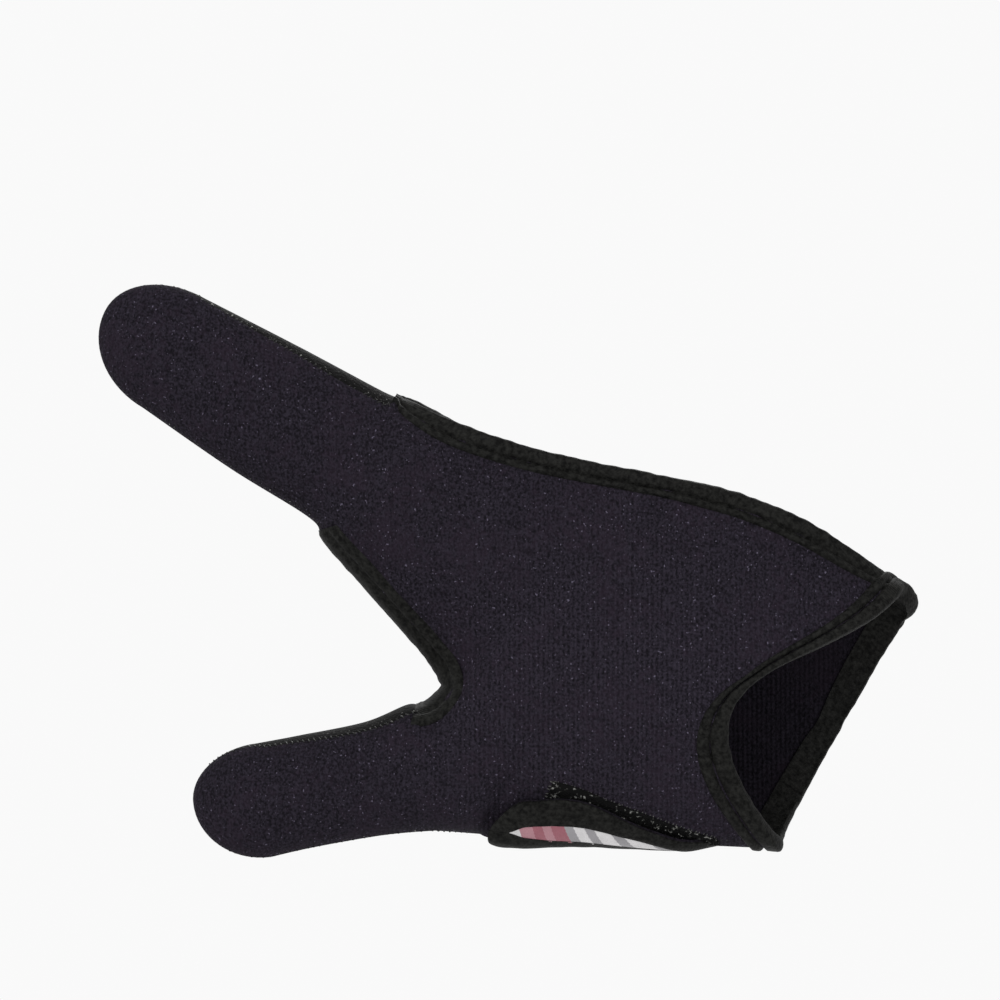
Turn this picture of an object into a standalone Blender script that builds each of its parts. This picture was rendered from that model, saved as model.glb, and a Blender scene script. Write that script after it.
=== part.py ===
"""Two-finger fishing glove of knit-faced foam rubber, in the shape that it has when worn.

The glove covers the thumb, the index finger and the near half of a right hand. Its back panel and
its palm panel are walls that meet edge to edge round both finger stalls and along the thumb side.
Between the index stall and the wrist both panels are open, and tape binds the open edges.
A strap with a round nose is sewn to the palm panel, wraps the thumb side and closes on the back.

The back of the glove looks along -Y. The origin is the centre of the wrist opening.
"""

import math
from collections import namedtuple

import bmesh
import bpy
from mathutils import Vector

# Driving sizes, in metres
HAND_LENGTH = 0.130
HAND_WIDTH = 0.070
INDEX_LENGTH = 0.0635
INDEX_WIDTH = 0.0318
THUMB_LENGTH = 0.0620
THUMB_WIDTH = 0.0260
BACK_DEPTH = 0.0160
PALM_DEPTH = 0.0190
INDEX_DEPTH = 0.0105
THUMB_DEPTH = 0.0108
WALL = 0.0022
SEAM_GAP = 0.0003
CLEARANCE = 0.0003
INNER_CLEARANCE = 0.0006
OUTER_CLEARANCE = 0.0005
TAPE_THICKNESS = 0.0007
FOLD_FULLNESS = 0.7
KNUCKLE_TAPE_WIDTH = 0.0050
WRIST_TAPE_WIDTH = 0.0062
WEB_TAPE_WIDTH = 0.0042
STRAP_WIDTH = 0.0200
STRAP_THICKNESS = 0.0010
LOOP_THICKNESS = 0.0006
HOOK_THICKNESS = 0.0006
LABEL_THICKNESS = 0.0004

# Directions of the hand and of the thumb in the picture plane, from +X towards +Z
HAND_ANGLE = math.radians(150)
THUMB_ANGLE = math.radians(187)

# Sections across the index stall. along is from the stall's root, as a share of its length,
# up and low are its two edges as shares of its width, back and palm its depths as shares.
IndexRow = namedtuple("IndexRow", "along up low back palm fullness")
INDEX_ROWS = [
    IndexRow(along=0.709, up=0.355, low=-0.544, back=0.86, palm=0.86, fullness=0.90),
    IndexRow(along=0.330, up=0.393, low=-0.607, back=1.00, palm=1.00, fullness=0.90),
    IndexRow(along=0.000, up=0.415, low=-0.629, back=1.06, palm=1.06, fullness=0.88),
]
INDEX_TIP_CENTRE = -0.060
TIP_FULLNESS = 0.85

# Sections across the hand, from the wrist's centre: along as shares of the hand's length, across
# as shares of its width. opening is the angle in degrees at which the upper edge stands open and
# bow the hollow of the back's section towards the fingers. reach and lift move the palm's upper
# edge along and across from the back's.
HandRow = namedtuple(
    "HandRow",
    "up_along up_across low_along low_across opening bow back palm fullness reach lift",
)
HAND_ROWS = [
    HandRow(0.933, 0.197, 0.958, -0.320, 25, 0.000, 0.78, 0.66, 0.86, 0.000, 0.010),
    HandRow(0.838, 0.213, 0.862, -0.380, 62, 0.000, 0.88, 0.76, 0.88, 0.000, 0.000),
    HandRow(0.723, 0.257, 0.769, -0.437, 72, 0.000, 0.95, 0.84, 0.92, 0.000, -0.030),
    HandRow(0.615, 0.319, 0.700, -0.482, 75, 0.000, 0.98, 0.90, 0.95, 0.000, -0.036),
    HandRow(0.523, 0.377, 0.645, -0.537, 75, 0.000, 1.00, 0.96, 0.95, 0.000, -0.036),
    HandRow(0.438, 0.429, 0.556, -0.720, 74, 0.008, 1.01, 1.02, 0.90, 0.000, -0.036),
    HandRow(0.346, 0.472, 0.464, -0.898, 68, 0.030, 1.03, 1.05, 0.85, 0.000, -0.036),
    HandRow(0.223, 0.495, 0.274, -0.718, 48, 0.100, 1.10, 1.08, 0.80, 0.010, -0.036),
    HandRow(0.052, 0.476, 0.000, -0.455, 10, 0.178, 1.19, 1.08, 0.80, 0.046, -0.020),
]
BOW_SKEW = 1.7
BOW_FULLNESS = 0.85
WEB_ROW = 7
LOWER_ROW = 9
WRIST_ROW = 11

# Sections across the thumb stall, from the middle of its base line, as the index stall's
ThumbRow = namedtuple("ThumbRow", "along up low back palm fullness")
THUMB_ROWS = [
    ThumbRow(along=0.000, up=0.000, low=0.000, back=1.40, palm=1.66, fullness=0.85),
    ThumbRow(along=0.110, up=0.515, low=-0.594, back=1.33, palm=1.55, fullness=0.86),
    ThumbRow(along=0.177, up=0.538, low=-0.575, back=1.27, palm=1.46, fullness=0.86),
    ThumbRow(along=0.339, up=0.433, low=-0.567, back=1.13, palm=1.27, fullness=0.88),
    ThumbRow(along=0.581, up=0.387, low=-0.598, back=1.00, palm=1.06, fullness=0.90),
    ThumbRow(along=0.742, up=0.363, low=-0.637, back=0.90, palm=0.92, fullness=0.90),
]
THUMB_TIP_CENTRE = -0.090

# The tapes' ends, in sections along their panel's edge
KNUCKLE_TAPE_START = 8 / 3
WEB_TAPE_START = 8 / 3
WEB_TAPE_END = 1.5

# Covers laid over the thumb side near the wrist: the section each row stands at, and where the
# cover starts and stops round the edge there, from the palm to the back, as shares of the
# strap's width. Zero is the edge itself, and the back is positive.
CoverRow = namedtuple("CoverRow", "section start stop")
STRAP_ROWS = [
    CoverRow(section=9.10, start=0.26, stop=0.50),
    CoverRow(section=9.14, start=0.10, stop=0.66),
    CoverRow(section=9.24, start=-0.02, stop=0.76),
    CoverRow(section=9.42, start=-0.12, stop=0.80),
    CoverRow(section=9.70, start=-0.22, stop=0.80),
    CoverRow(section=10.05, start=-0.36, stop=0.72),
    CoverRow(section=10.34, start=-0.62, stop=0.52),
    CoverRow(section=10.54, start=-1.15, stop=0.34),
    CoverRow(section=10.70, start=-1.90, stop=0.18),
]
LOOP_ROWS = [
    CoverRow(section=9.56, start=0.24, stop=0.98),
    CoverRow(section=10.00, start=0.24, stop=0.90),
    CoverRow(section=10.30, start=0.24, stop=0.66),
    CoverRow(section=10.56, start=0.24, stop=0.42),
]
HOOK_ROWS = [
    CoverRow(section=9.34, start=0.24, stop=0.68),
    CoverRow(section=9.90, start=0.24, stop=0.66),
    CoverRow(section=10.20, start=0.24, stop=0.50),
]
STRAP_RISE = 0.20
STRAP_COLUMNS = 20
STRAP_ROWS_ACROSS = 8
STRAP_WINDOW_COLUMNS = (4, 15)
STRAP_WINDOW_ROWS = (3, 6)
WINDOW_MARGIN = 0.3

# Fineness of the faceted walls
TIP_COLUMNS = 4
COLUMNS_PER_SECTION = 3
COLUMNS_BY_THUMB = 4
COLUMNS_BY_WRIST = 7
THUMB_COLUMNS_PER_SECTION = 2
ROWS_ACROSS = 12
MOUTH_STATIONS = ROWS_ACROSS
SEARCH_STEPS = 15
SMALL_STEP = 1e-3

Frame = namedtuple("Frame", "along across")
Section = namedtuple("Section", "up low opening bow depth fullness girth")


def plane_frame(angle):
    """Unit vectors along and across a direction in the picture plane."""
    along = Vector((math.cos(angle), 0, math.sin(angle)))
    return Frame(along, Vector((along.z, 0, -along.x)))


HAND = plane_frame(HAND_ANGLE)
THUMB = plane_frame(THUMB_ANGLE)
OUT_OF_BACK = Vector((0, -1, 0))


def smooth_row(rows, at):
    """The values of a table of rows at a fractional row, on a smooth curve through the rows."""
    first = min(max(int(math.floor(at)), 0), len(rows) - 2)
    t = at - first
    before, here, there, after = (rows[min(max(first + i, 0), len(rows) - 1)] for i in (-1, 0, 1, 2))
    return [
        q + 0.5 * t * ((r - p) + t * ((2 * p - 5 * q + 4 * r - s) + t * (3 * q - p - 3 * r + s)))
        for p, q, r, s in zip(before, here, there, after)
    ]


def hand_place(along, across):
    return HAND.along * along + HAND.across * across


def index_values(row, palm):
    """An index row as lengths: both ends along and across, opening, bow, depth and fullness."""
    along = HAND_LENGTH + row.along * INDEX_LENGTH
    depth = INDEX_DEPTH * (row.palm if palm else row.back)
    return [along, row.up * INDEX_WIDTH, along, row.low * INDEX_WIDTH, 0, 0, depth, row.fullness]


def hand_values(row, palm):
    """A hand row as lengths, like an index row's."""
    depth = PALM_DEPTH * row.palm if palm else BACK_DEPTH * row.back
    reach = row.reach if palm else 0
    lift = row.lift if palm else 0
    return [
        (row.up_along - reach) * HAND_LENGTH,
        (row.up_across + lift) * HAND_WIDTH,
        row.low_along * HAND_LENGTH,
        row.low_across * HAND_WIDTH,
        row.opening,
        0 if palm else row.bow * HAND_LENGTH,
        depth,
        row.fullness,
    ]


BODY_TABLES = {
    palm: [index_values(row, palm) for row in INDEX_ROWS] + [hand_values(row, palm) for row in HAND_ROWS]
    for palm in (False, True)
}


def body_section(at, palm, inset=0.0):
    """The section of the index stall and hand at a fractional row; below zero it closes the tip.
    inset is how far inside the skin the tip closes, and girth what is left of the width there."""
    values = smooth_row(BODY_TABLES[palm], max(at, 0))
    up_along, up_across, low_along, low_across, opening, bow, depth, fullness = values
    girth = 1
    if at < 0:
        turn = math.radians(90) * -at
        reach = ((1 - INDEX_ROWS[0].along) * INDEX_LENGTH - inset) * math.sin(turn)
        centre = INDEX_TIP_CENTRE * INDEX_WIDTH
        girth = math.cos(turn)
        up_along, low_along = up_along + reach, low_along + reach
        up_across = centre + (up_across - centre) * girth
        low_across = centre + (low_across - centre) * girth
        depth *= girth**TIP_FULLNESS
    up = hand_place(up_along, up_across)
    low = hand_place(low_along, low_across)
    return Section(up, low, math.radians(max(opening, 0)), bow, depth, fullness, girth)


def body_corner(row):
    """The lower end of one of the hand's rows, where the thumb's base line starts or ends."""
    values = HAND_ROWS[row - len(INDEX_ROWS)]
    return hand_place(values.low_along * HAND_LENGTH, values.low_across * HAND_WIDTH)


WEB_CORNER = body_corner(WEB_ROW)
LOWER_CORNER = body_corner(LOWER_ROW)


def thumb_place(along, across):
    return (WEB_CORNER + LOWER_CORNER) / 2 + THUMB.along * along + THUMB.across * across


def thumb_values(row, palm):
    """A thumb row as lengths: both ends, depth and fullness. The first is the base line."""
    along = row.along * THUMB_LENGTH
    up = thumb_place(along, row.up * THUMB_WIDTH) if row.along else WEB_CORNER
    low = thumb_place(along, row.low * THUMB_WIDTH) if row.along else LOWER_CORNER
    return [up, low, THUMB_DEPTH * (row.palm if palm else row.back), row.fullness]


THUMB_TABLES = {palm: [thumb_values(row, palm) for row in THUMB_ROWS] for palm in (False, True)}
LAST_THUMB_ROW = len(THUMB_ROWS) - 1


def thumb_section(at, palm, inset=0.0):
    """The section of the thumb stall at a fractional row; past the last row it closes the tip."""
    up, low, depth, fullness = smooth_row(THUMB_TABLES[palm], min(at, LAST_THUMB_ROW))
    girth = 1
    if at > LAST_THUMB_ROW:
        turn = math.radians(90) * (at - LAST_THUMB_ROW)
        last = THUMB_ROWS[-1].along
        reach = THUMB.along * (((1 - last) * THUMB_LENGTH - inset) * math.sin(turn))
        centre = thumb_place(last * THUMB_LENGTH, THUMB_TIP_CENTRE * THUMB_WIDTH)
        girth = math.cos(turn)
        up = centre + (up - centre) * girth + reach
        low = centre + (low - centre) * girth + reach
        depth *= girth**TIP_FULLNESS
    return Section(up, low, 0, 0, depth, fullness, girth)


def signed_power(value, power):
    return math.copysign(abs(value) ** power, value)


def point_on(section, angle, end_angle, inset, low=None):
    """A point of a section's wall, at an angle from its upper edge round to its lower one."""
    up = section.up
    low = section.low if low is None else low
    reach = low - up
    length = max(reach.length, 1e-6)
    reach = reach / length
    trim = min(inset * section.girth, 0.45 * length)
    up = up + reach * trim * math.cos(section.opening)
    if end_angle > math.pi - 1e-6:
        low = low - reach * trim
    first = signed_power(math.cos(section.opening), section.fullness)
    last = signed_power(math.cos(end_angle), section.fullness)
    share = (first - signed_power(math.cos(angle), section.fullness)) / (first - last)
    thinned = section.depth - inset * section.girth**TIP_FULLNESS
    depth = max(thinned, 0) * max(math.sin(angle), 0) ** section.fullness
    hollow = max(math.sin(math.pi * min(max(share, 0), 1) ** BOW_SKEW), 0) ** BOW_FULLNESS
    return up.lerp(low, share) + HAND.along * (section.bow * hollow), depth


def mitre(first, second):
    """The offset that keeps a unit distance from two edges with these unit normals."""
    return (first + second) / (1 + first.dot(second))


def base_point(turn, palm, inset):
    """A point of the thumb's base line: turn runs from the web corner at 0 to the lower at pi."""
    section = thumb_section(0, palm)
    place, depth = point_on(section, turn, math.pi, inset)
    corner = None
    if turn < 1e-6:
        corner = (WEB_ROW, section.up, (section.low - section.up).normalized())
    elif turn > math.pi - 1e-6:
        corner = (LOWER_ROW, section.low, (section.up - section.low).normalized())
    if corner:
        row, place, inward = corner
        beside = body_section(row, palm)
        place = place + mitre((beside.up - beside.low).normalized(), inward) * inset
    return place, depth


def to_space(place, depth, palm):
    """Moves a point of the picture plane out to its depth, on the palm side or on the back."""
    return place + OUT_OF_BACK * ((depth + SEAM_GAP / 2) * (-1 if palm else 1))


def body_point(at, share, palm, inset=0.0):
    """A point of the index and hand wall: share runs from its upper edge to its lower one."""
    section = body_section(at, palm, inset)
    low, end_angle = None, math.pi
    if WEB_ROW - 1e-6 < at < LOWER_ROW + 1e-6:
        turn = math.pi * (at - WEB_ROW) / (LOWER_ROW - WEB_ROW)
        low, low_depth = base_point(turn, palm, inset)
        if share > 1 - 1e-6:
            return to_space(low, low_depth, palm)
        rise = min(low_depth / (section.depth - inset), 0.98)
        end_angle = math.pi - math.asin(rise ** (1 / section.fullness))
    angle = section.opening + (end_angle - section.opening) * share
    return to_space(*point_on(section, angle, end_angle, inset, low), palm)


def thumb_point(at, share, palm, inset=0.0):
    """A point of the thumb wall: share runs from its upper edge to its lower one."""
    angle = math.pi * share
    if at < 1e-6:
        return to_space(*base_point(angle, palm, inset), palm)
    return to_space(*point_on(thumb_section(at, palm, inset), angle, math.pi, inset), palm)


def wall_normal(surface, at, share, palm):
    """The outward normal of a wall, measured between close points."""
    before, after = max(share - SMALL_STEP, 0), min(share + SMALL_STEP, 1)
    ahead = surface(at + SMALL_STEP, share, palm) - surface(at - SMALL_STEP, share, palm)
    side = surface(at, after, palm) - surface(at, before, palm)
    normal = ahead.cross(side).normalized()
    return normal if palm else -normal


def body_stations():
    """The rows at which the index and hand wall has its columns, from the tip to the wrist."""
    stations = [-1 + i / TIP_COLUMNS for i in range(TIP_COLUMNS)]
    for row in range(WRIST_ROW):
        steps = COLUMNS_BY_THUMB if WEB_ROW <= row < LOWER_ROW else COLUMNS_PER_SECTION
        if row == WRIST_ROW - 1:
            steps = COLUMNS_BY_WRIST
        stations += [row + i / steps for i in range(steps)]
    return stations + [WRIST_ROW]


def thumb_stations():
    steps = THUMB_COLUMNS_PER_SECTION
    stations = [i / steps for i in range(LAST_THUMB_ROW * steps)]
    return stations + [LAST_THUMB_ROW + i / TIP_COLUMNS for i in range(TIP_COLUMNS + 1)]


def new_object(name, bm, material):
    """Turns a bmesh into a shaded object in the glove's collection."""
    bmesh.ops.recalc_face_normals(bm, faces=bm.faces)
    mesh = bpy.data.meshes.new(name)
    bm.to_mesh(mesh)
    bm.free()
    mesh.materials.append(material)
    mesh.shade_smooth()
    mesh.set_sharp_from_angle(angle=math.radians(50))
    piece = bpy.data.objects.new(name, mesh)
    bpy.data.collections[COLLECTION].objects.link(piece)
    return piece


def grid_cells(bm, columns, rows):
    """A flat grid, with the column and row of each of its corners."""
    made = bmesh.ops.create_grid(bm, x_segments=columns, y_segments=rows, size=0.5)["verts"]
    return [(v, round((v.co.x + 0.5) * columns), round((v.co.y + 0.5) * rows)) for v in made]


def new_verts(made):
    return [part for part in made["geom"] if isinstance(part, bmesh.types.BMVert)]


def make_panel(name, palm, material):
    """One panel in one piece: the outer skin as two grids, and the inner skin a wall inside it."""
    bm = bmesh.new()
    at_layer = bm.verts.layers.float.new("at")
    share_layer = bm.verts.layers.float.new("share")
    thumb_layer = bm.verts.layers.int.new("thumb")
    base_rows = (LOWER_ROW - WEB_ROW) * COLUMNS_BY_THUMB
    patches = [(body_stations(), ROWS_ACROSS, body_point), (thumb_stations(), base_rows, thumb_point)]
    for stations, rows, surface in patches:
        for vert, column, row in grid_cells(bm, len(stations) - 1, rows):
            vert[at_layer] = stations[column]
            vert[share_layer] = row / rows
            vert[thumb_layer] = int(surface is thumb_point)
            vert.co = surface(stations[column], row / rows, palm)
    bmesh.ops.remove_doubles(bm, verts=bm.verts, dist=1e-6)
    for vert in new_verts(bmesh.ops.extrude_face_region(bm, geom=bm.faces[:], use_keep_orig=True)):
        surface = thumb_point if vert[thumb_layer] else body_point
        vert.co = surface(vert[at_layer], vert[share_layer], palm, WALL)
    return new_object(name, bm, material)


def loft(name, rings, material, closed=False):
    """A closed solid through rings of points, with filled ends unless it runs round in a loop."""
    bm = bmesh.new()
    columns = len(rings) if closed else len(rings) - 1
    points = len(rings[0])
    for vert, column, row in grid_cells(bm, columns, points):
        vert.co = rings[column % len(rings)][row % points]
    bmesh.ops.remove_doubles(bm, verts=bm.verts, dist=1e-7)
    ends = [edge for edge in bm.edges if edge.is_boundary]
    if ends:
        bmesh.ops.holes_fill(bm, edges=ends, sides=0)
    return new_object(name, bm, material)


def folded_ring(outer, inner, normals):
    """A tape's section folded over an open edge. outer runs in from the edge on the outer skin,
    and inner are the points of the inner skin beneath."""
    far = OUTER_CLEARANCE + TAPE_THICKNESS
    outward = (outer[0] - outer[1]).normalized()
    top = [p + n * far for p, n in zip(outer, normals)]
    under = [p + n * OUTER_CLEARANCE for p, n in zip(outer, normals)]
    roof = [p - n * INNER_CLEARANCE for p, n in zip(inner, normals)]
    bottom = [p - n * (INNER_CLEARANCE + TAPE_THICKNESS) for p, n in zip(inner, normals)]
    near = outward * INNER_CLEARANCE
    full = outward * (INNER_CLEARANCE + FOLD_FULLNESS * TAPE_THICKNESS)
    fold = (outer[0] + inner[0]) / 2 + outward * (INNER_CLEARANCE + TAPE_THICKNESS)
    ring = [*reversed(top), top[0] + full, fold, bottom[0] + full, *bottom]
    return ring + [*reversed(roof), roof[0] + near, under[0] + near, *under]


def share_across(at, palm, wanted):
    """The share round a section at which its wall stands a wanted distance from its upper edge."""
    low, high = 0.0, 0.5
    start = body_point(at, 0, palm)
    for _ in range(SEARCH_STEPS):
        middle = (low + high) / 2
        crossed = (body_point(at, middle, palm) - start).length
        low, high = (middle, high) if crossed < wanted else (low, middle)
    return low


def row_length(share, palm):
    """The wall's length over the last row before the wrist, at a share round the section."""
    step = 0.25
    return (body_point(WRIST_ROW, share, palm) - body_point(WRIST_ROW - step, share, palm)).length / step


def make_knuckle_tape(name, palm, material):
    """The tape over a panel's upper edge, from the index stall's root to the wrist tape."""
    end = WRIST_ROW - (WRIST_TAPE_WIDTH + 2 * CLEARANCE) / row_length(0, palm)
    stations = [at for at in body_stations() if KNUCKLE_TAPE_START - 1e-6 < at < end - 0.1]
    rings = []
    for at in stations + [end]:
        shares = [share_across(at, palm, reach * KNUCKLE_TAPE_WIDTH) for reach in (0, 0.5, 1)]
        outer = [body_point(at, share, palm) for share in shares]
        inner = [body_point(at, share, palm, WALL) for share in shares]
        normals = [wall_normal(body_point, at, share, palm) for share in shares]
        rings.append(folded_ring(outer, inner, normals))
    return loft(name, rings, material)


def make_wrist_tape(name, material):
    """The tape round the mouth: up the back's edge, across the upper corner and down the palm's."""
    shares = [i / MOUTH_STATIONS for i in range(MOUTH_STATIONS + 1)]
    rings = []
    for palm in (False, True):
        for share in shares if palm else reversed(shares):
            length = row_length(share, palm)
            stations = [WRIST_ROW - reach * WRIST_TAPE_WIDTH / length for reach in (0, 0.5, 1)]
            outer = [body_point(at, share, palm) for at in stations]
            inner = [body_point(at, share, palm, WALL) for at in stations]
            normals = [wall_normal(body_point, at, share, palm) for at in stations]
            rings.append(folded_ring(outer, inner, normals))
    half = len(shares)
    bridge = [(a + b) / 2 for a, b in zip(rings[half - 1], rings[half])]
    return loft(name, rings[:half] + [bridge] + rings[half:], material, closed=True)


def around_edge(surface, at, away):
    """The skin's point a distance round the panels' shared edge: the back is positive."""
    palm = away < 0
    edge = 0 if surface is thumb_point else 1
    low, high = 0.0, 0.7
    start = surface(at, edge, palm)
    for _ in range(SEARCH_STEPS):
        middle = (low + high) / 2
        gone = (surface(at, abs(edge - middle), palm) - start).length
        low, high = (middle, high) if gone < abs(away) else (low, middle)
    return surface(at, abs(edge - low), palm)


def edge_normal(surface, at, away):
    """The outward normal of the skin round the panels' shared edge."""
    step = 0.0004
    before = at if at < SMALL_STEP else at - SMALL_STEP
    after = at if abs(at - WEB_ROW) < SMALL_STEP else at + SMALL_STEP
    ahead = around_edge(surface, after, away) - around_edge(surface, before, away)
    side = around_edge(surface, at, away - step) - around_edge(surface, at, away + step)
    return side.cross(ahead).normalized()


def make_web_tape(name, material):
    """The tape folded over the seam between the index stall's root and the thumb's upper edge."""
    body = [(body_point, at) for at in body_stations() if WEB_TAPE_START - 1e-6 < at < WEB_ROW]
    thumb = [(thumb_point, at) for at in thumb_stations() if SMALL_STEP < at < WEB_TAPE_END + 1e-6]
    reaches = [WEB_TAPE_WIDTH * share for share in (1, 0.6, 0.25, 0, -0.25, -0.6, -1)]
    rings = []
    for surface, at in body + [(thumb_point, 0)] + thumb:
        ring_over, ring_under = [], []
        for away in reaches:
            normal = edge_normal(surface, at, away)
            if surface is thumb_point and at == 0:
                normal = mitre(edge_normal(body_point, WEB_ROW, away), normal)
            point = around_edge(surface, at, away)
            ring_over.append(point + normal * (CLEARANCE + TAPE_THICKNESS))
            ring_under.append(point + normal * CLEARANCE)
        rings.append(ring_over + ring_under[::-1])
    return loft(name, rings, material)


def strap_height(away):
    """How high the strap's underside stands over the panels: over both patches on the back."""
    t = min(max(away / (STRAP_RISE * STRAP_WIDTH), 0), 1)
    return CLEARANCE + (2 * CLEARANCE + LOOP_THICKNESS + HOOK_THICKNESS) * t * t * (3 - 2 * t)


def make_cover(name, table, size, height, thickness, material, window=None):
    """A cover laid round the thumb side's edge, with the cells of its window left out."""
    columns, rows = size
    bm = bmesh.new()
    outward = bm.verts.layers.float_vector.new("outward")
    for vert, column, row in grid_cells(bm, columns, rows):
        at, start, stop = smooth_row(table, column / columns * (len(table) - 1))
        away = (start + (stop - start) * row / rows) * STRAP_WIDTH
        vert[outward] = edge_normal(body_point, at, away)
        vert.co = around_edge(body_point, at, away) + vert[outward] * height(away)
    if window:
        (left, right), (bottom, top) = window
        bm.faces.ensure_lookup_table()
        inside = [
            bm.faces[column + row * columns] for column in range(left, right) for row in range(bottom, top)
        ]
        bmesh.ops.delete(bm, geom=inside, context="FACES")
    for vert in new_verts(bmesh.ops.extrude_face_region(bm, geom=bm.faces[:], use_keep_orig=True)):
        vert.co = vert.co + vert[outward] * thickness
    return new_object(name, bm, material)


def window_rows(table):
    """The rows of the strap's label, which lies inside the window of the strap's tape."""
    (left, right), (bottom, top) = STRAP_WINDOW_COLUMNS, STRAP_WINDOW_ROWS
    gap = 2 * CLEARANCE / STRAP_WIDTH
    rows = []
    for column in (left + WINDOW_MARGIN, *range(left + 1, right), right - WINDOW_MARGIN):
        at, start, stop = smooth_row(table, column / STRAP_COLUMNS * (len(table) - 1))
        low = start + (stop - start) * bottom / STRAP_ROWS_ACROSS + gap
        high = start + (stop - start) * top / STRAP_ROWS_ACROSS - gap
        rows.append(CoverRow(at, low, high))
    return rows


def make_material(name, colour, roughness):
    material = bpy.data.materials.new(name)
    material.use_nodes = True
    shader = material.node_tree.nodes["Principled BSDF"]
    shader.inputs["Base Color"].default_value = (*colour, 1)
    shader.inputs["Roughness"].default_value = roughness
    shader.inputs["Metallic"].default_value = 0
    return material


def make_strap(web, tape, hook, loop, print_face):
    """The strap with its tape and label, and the two patches that hold it to the back panel."""
    size = (STRAP_COLUMNS, STRAP_ROWS_ACROSS)
    window = (STRAP_WINDOW_COLUMNS, STRAP_WINDOW_ROWS)
    top = STRAP_THICKNESS + CLEARANCE
    make_cover("loop_patch", LOOP_ROWS, (8, 4), lambda away: CLEARANCE, LOOP_THICKNESS, loop)
    hook_height = 2 * CLEARANCE + LOOP_THICKNESS
    make_cover("hook_patch", HOOK_ROWS, (8, 4), lambda away: hook_height, HOOK_THICKNESS, hook)
    make_cover("strap", STRAP_ROWS, size, strap_height, STRAP_THICKNESS, web)
    over = lambda away: strap_height(away) + top
    make_cover("strap_tape", STRAP_ROWS, size, over, TAPE_THICKNESS, tape, window)
    label_size = (STRAP_WINDOW_COLUMNS[1] - STRAP_WINDOW_COLUMNS[0], 4)
    make_cover("strap_label", window_rows(STRAP_ROWS), label_size, over, LABEL_THICKNESS, print_face)


COLLECTION = "fishing_glove"


def main():
    for thing in list(bpy.data.objects):
        bpy.data.objects.remove(thing)
    bpy.context.scene.collection.children.link(bpy.data.collections.new(COLLECTION))
    foam = make_material("knit_faced_foam", (0.018, 0.016, 0.024), 0.85)
    palm_cloth = make_material("grained_palm_cloth", (0.012, 0.012, 0.012), 0.80)
    tape = make_material("binding_tape", (0.010, 0.010, 0.008), 0.60)
    loop = make_material("loop_pile", (0.014, 0.014, 0.014), 0.95)
    hook = make_material("hook_face", (0.020, 0.020, 0.020), 0.50)
    print_face = make_material("woven_label", (0.55, 0.53, 0.54), 0.60)
    make_panel("back_panel", False, foam)
    make_panel("palm_panel", True, palm_cloth)
    make_knuckle_tape("knuckle_tape", False, tape)
    make_knuckle_tape("palm_knuckle_tape", True, tape)
    make_wrist_tape("wrist_tape", tape)
    make_web_tape("web_tape", tape)
    make_strap(foam, tape, hook, loop, print_face)


main()
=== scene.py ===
"""The looks of a two-finger fishing glove: knit-faced foam panels, sewn seams, bound edges and strap.

The panels, tapes and strap are laid on one worn form, which is given by the sections below.
"""

import math
import random
from collections import namedtuple

import bmesh
import bpy
from mathutils import Matrix, Vector, noise
from mathutils.bvhtree import BVHTree


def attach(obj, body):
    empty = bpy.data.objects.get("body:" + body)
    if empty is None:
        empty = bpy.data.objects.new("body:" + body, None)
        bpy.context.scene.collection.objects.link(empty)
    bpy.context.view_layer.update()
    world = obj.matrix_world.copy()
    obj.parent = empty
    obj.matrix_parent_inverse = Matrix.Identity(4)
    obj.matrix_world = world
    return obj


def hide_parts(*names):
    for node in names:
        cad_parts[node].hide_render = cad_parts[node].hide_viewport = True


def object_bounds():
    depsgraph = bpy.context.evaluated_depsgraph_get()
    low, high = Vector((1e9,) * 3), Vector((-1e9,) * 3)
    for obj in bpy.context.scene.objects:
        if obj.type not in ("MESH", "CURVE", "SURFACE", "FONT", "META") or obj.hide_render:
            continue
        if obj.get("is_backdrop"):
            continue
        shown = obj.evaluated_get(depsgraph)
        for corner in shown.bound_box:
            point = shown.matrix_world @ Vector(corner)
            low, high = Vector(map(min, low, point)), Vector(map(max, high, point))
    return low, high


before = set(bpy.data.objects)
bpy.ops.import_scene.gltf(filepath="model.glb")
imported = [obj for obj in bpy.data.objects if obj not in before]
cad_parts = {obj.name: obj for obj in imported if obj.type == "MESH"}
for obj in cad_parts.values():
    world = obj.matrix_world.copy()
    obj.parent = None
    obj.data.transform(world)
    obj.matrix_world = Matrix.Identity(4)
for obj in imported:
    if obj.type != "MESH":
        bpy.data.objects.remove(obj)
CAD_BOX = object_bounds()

bl_info = {
    "name": "Fishing glove",
    "version": (1, 0, 0),
    "blender": (4, 5, 0),
    "location": "View3D > Sidebar > Glove",
    "description": "Sews a two-finger fishing glove: panels, seams, tapes, strap and a plain studio",
    "category": "Object",
}


def hex_colour(code):
    """A six-digit sRGB hex colour as linear red, green and blue."""
    parts = [int(code[i:i + 2], 16) / 255 for i in (1, 3, 5)]
    return tuple(c / 12.92 if c <= 0.04045 else ((c + 0.055) / 1.055) ** 2.4 for c in parts)


# The worn form, in metres: the same sizes and sections as the glove's solids

HAND_LENGTH = 0.130
HAND_WIDTH = 0.070
INDEX_LENGTH = 0.0635
INDEX_WIDTH = 0.0318
THUMB_LENGTH = 0.0620
THUMB_WIDTH = 0.0260
BACK_DEPTH = 0.0160
PALM_DEPTH = 0.0190
INDEX_DEPTH = 0.0105
THUMB_DEPTH = 0.0108
WALL = 0.0020
SEAM_GAP = 0.0003
STRAP_WIDTH = 0.0200
TIP_FULLNESS = 0.85

HAND_ANGLE = math.radians(150)
THUMB_ANGLE = math.radians(187)

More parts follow.
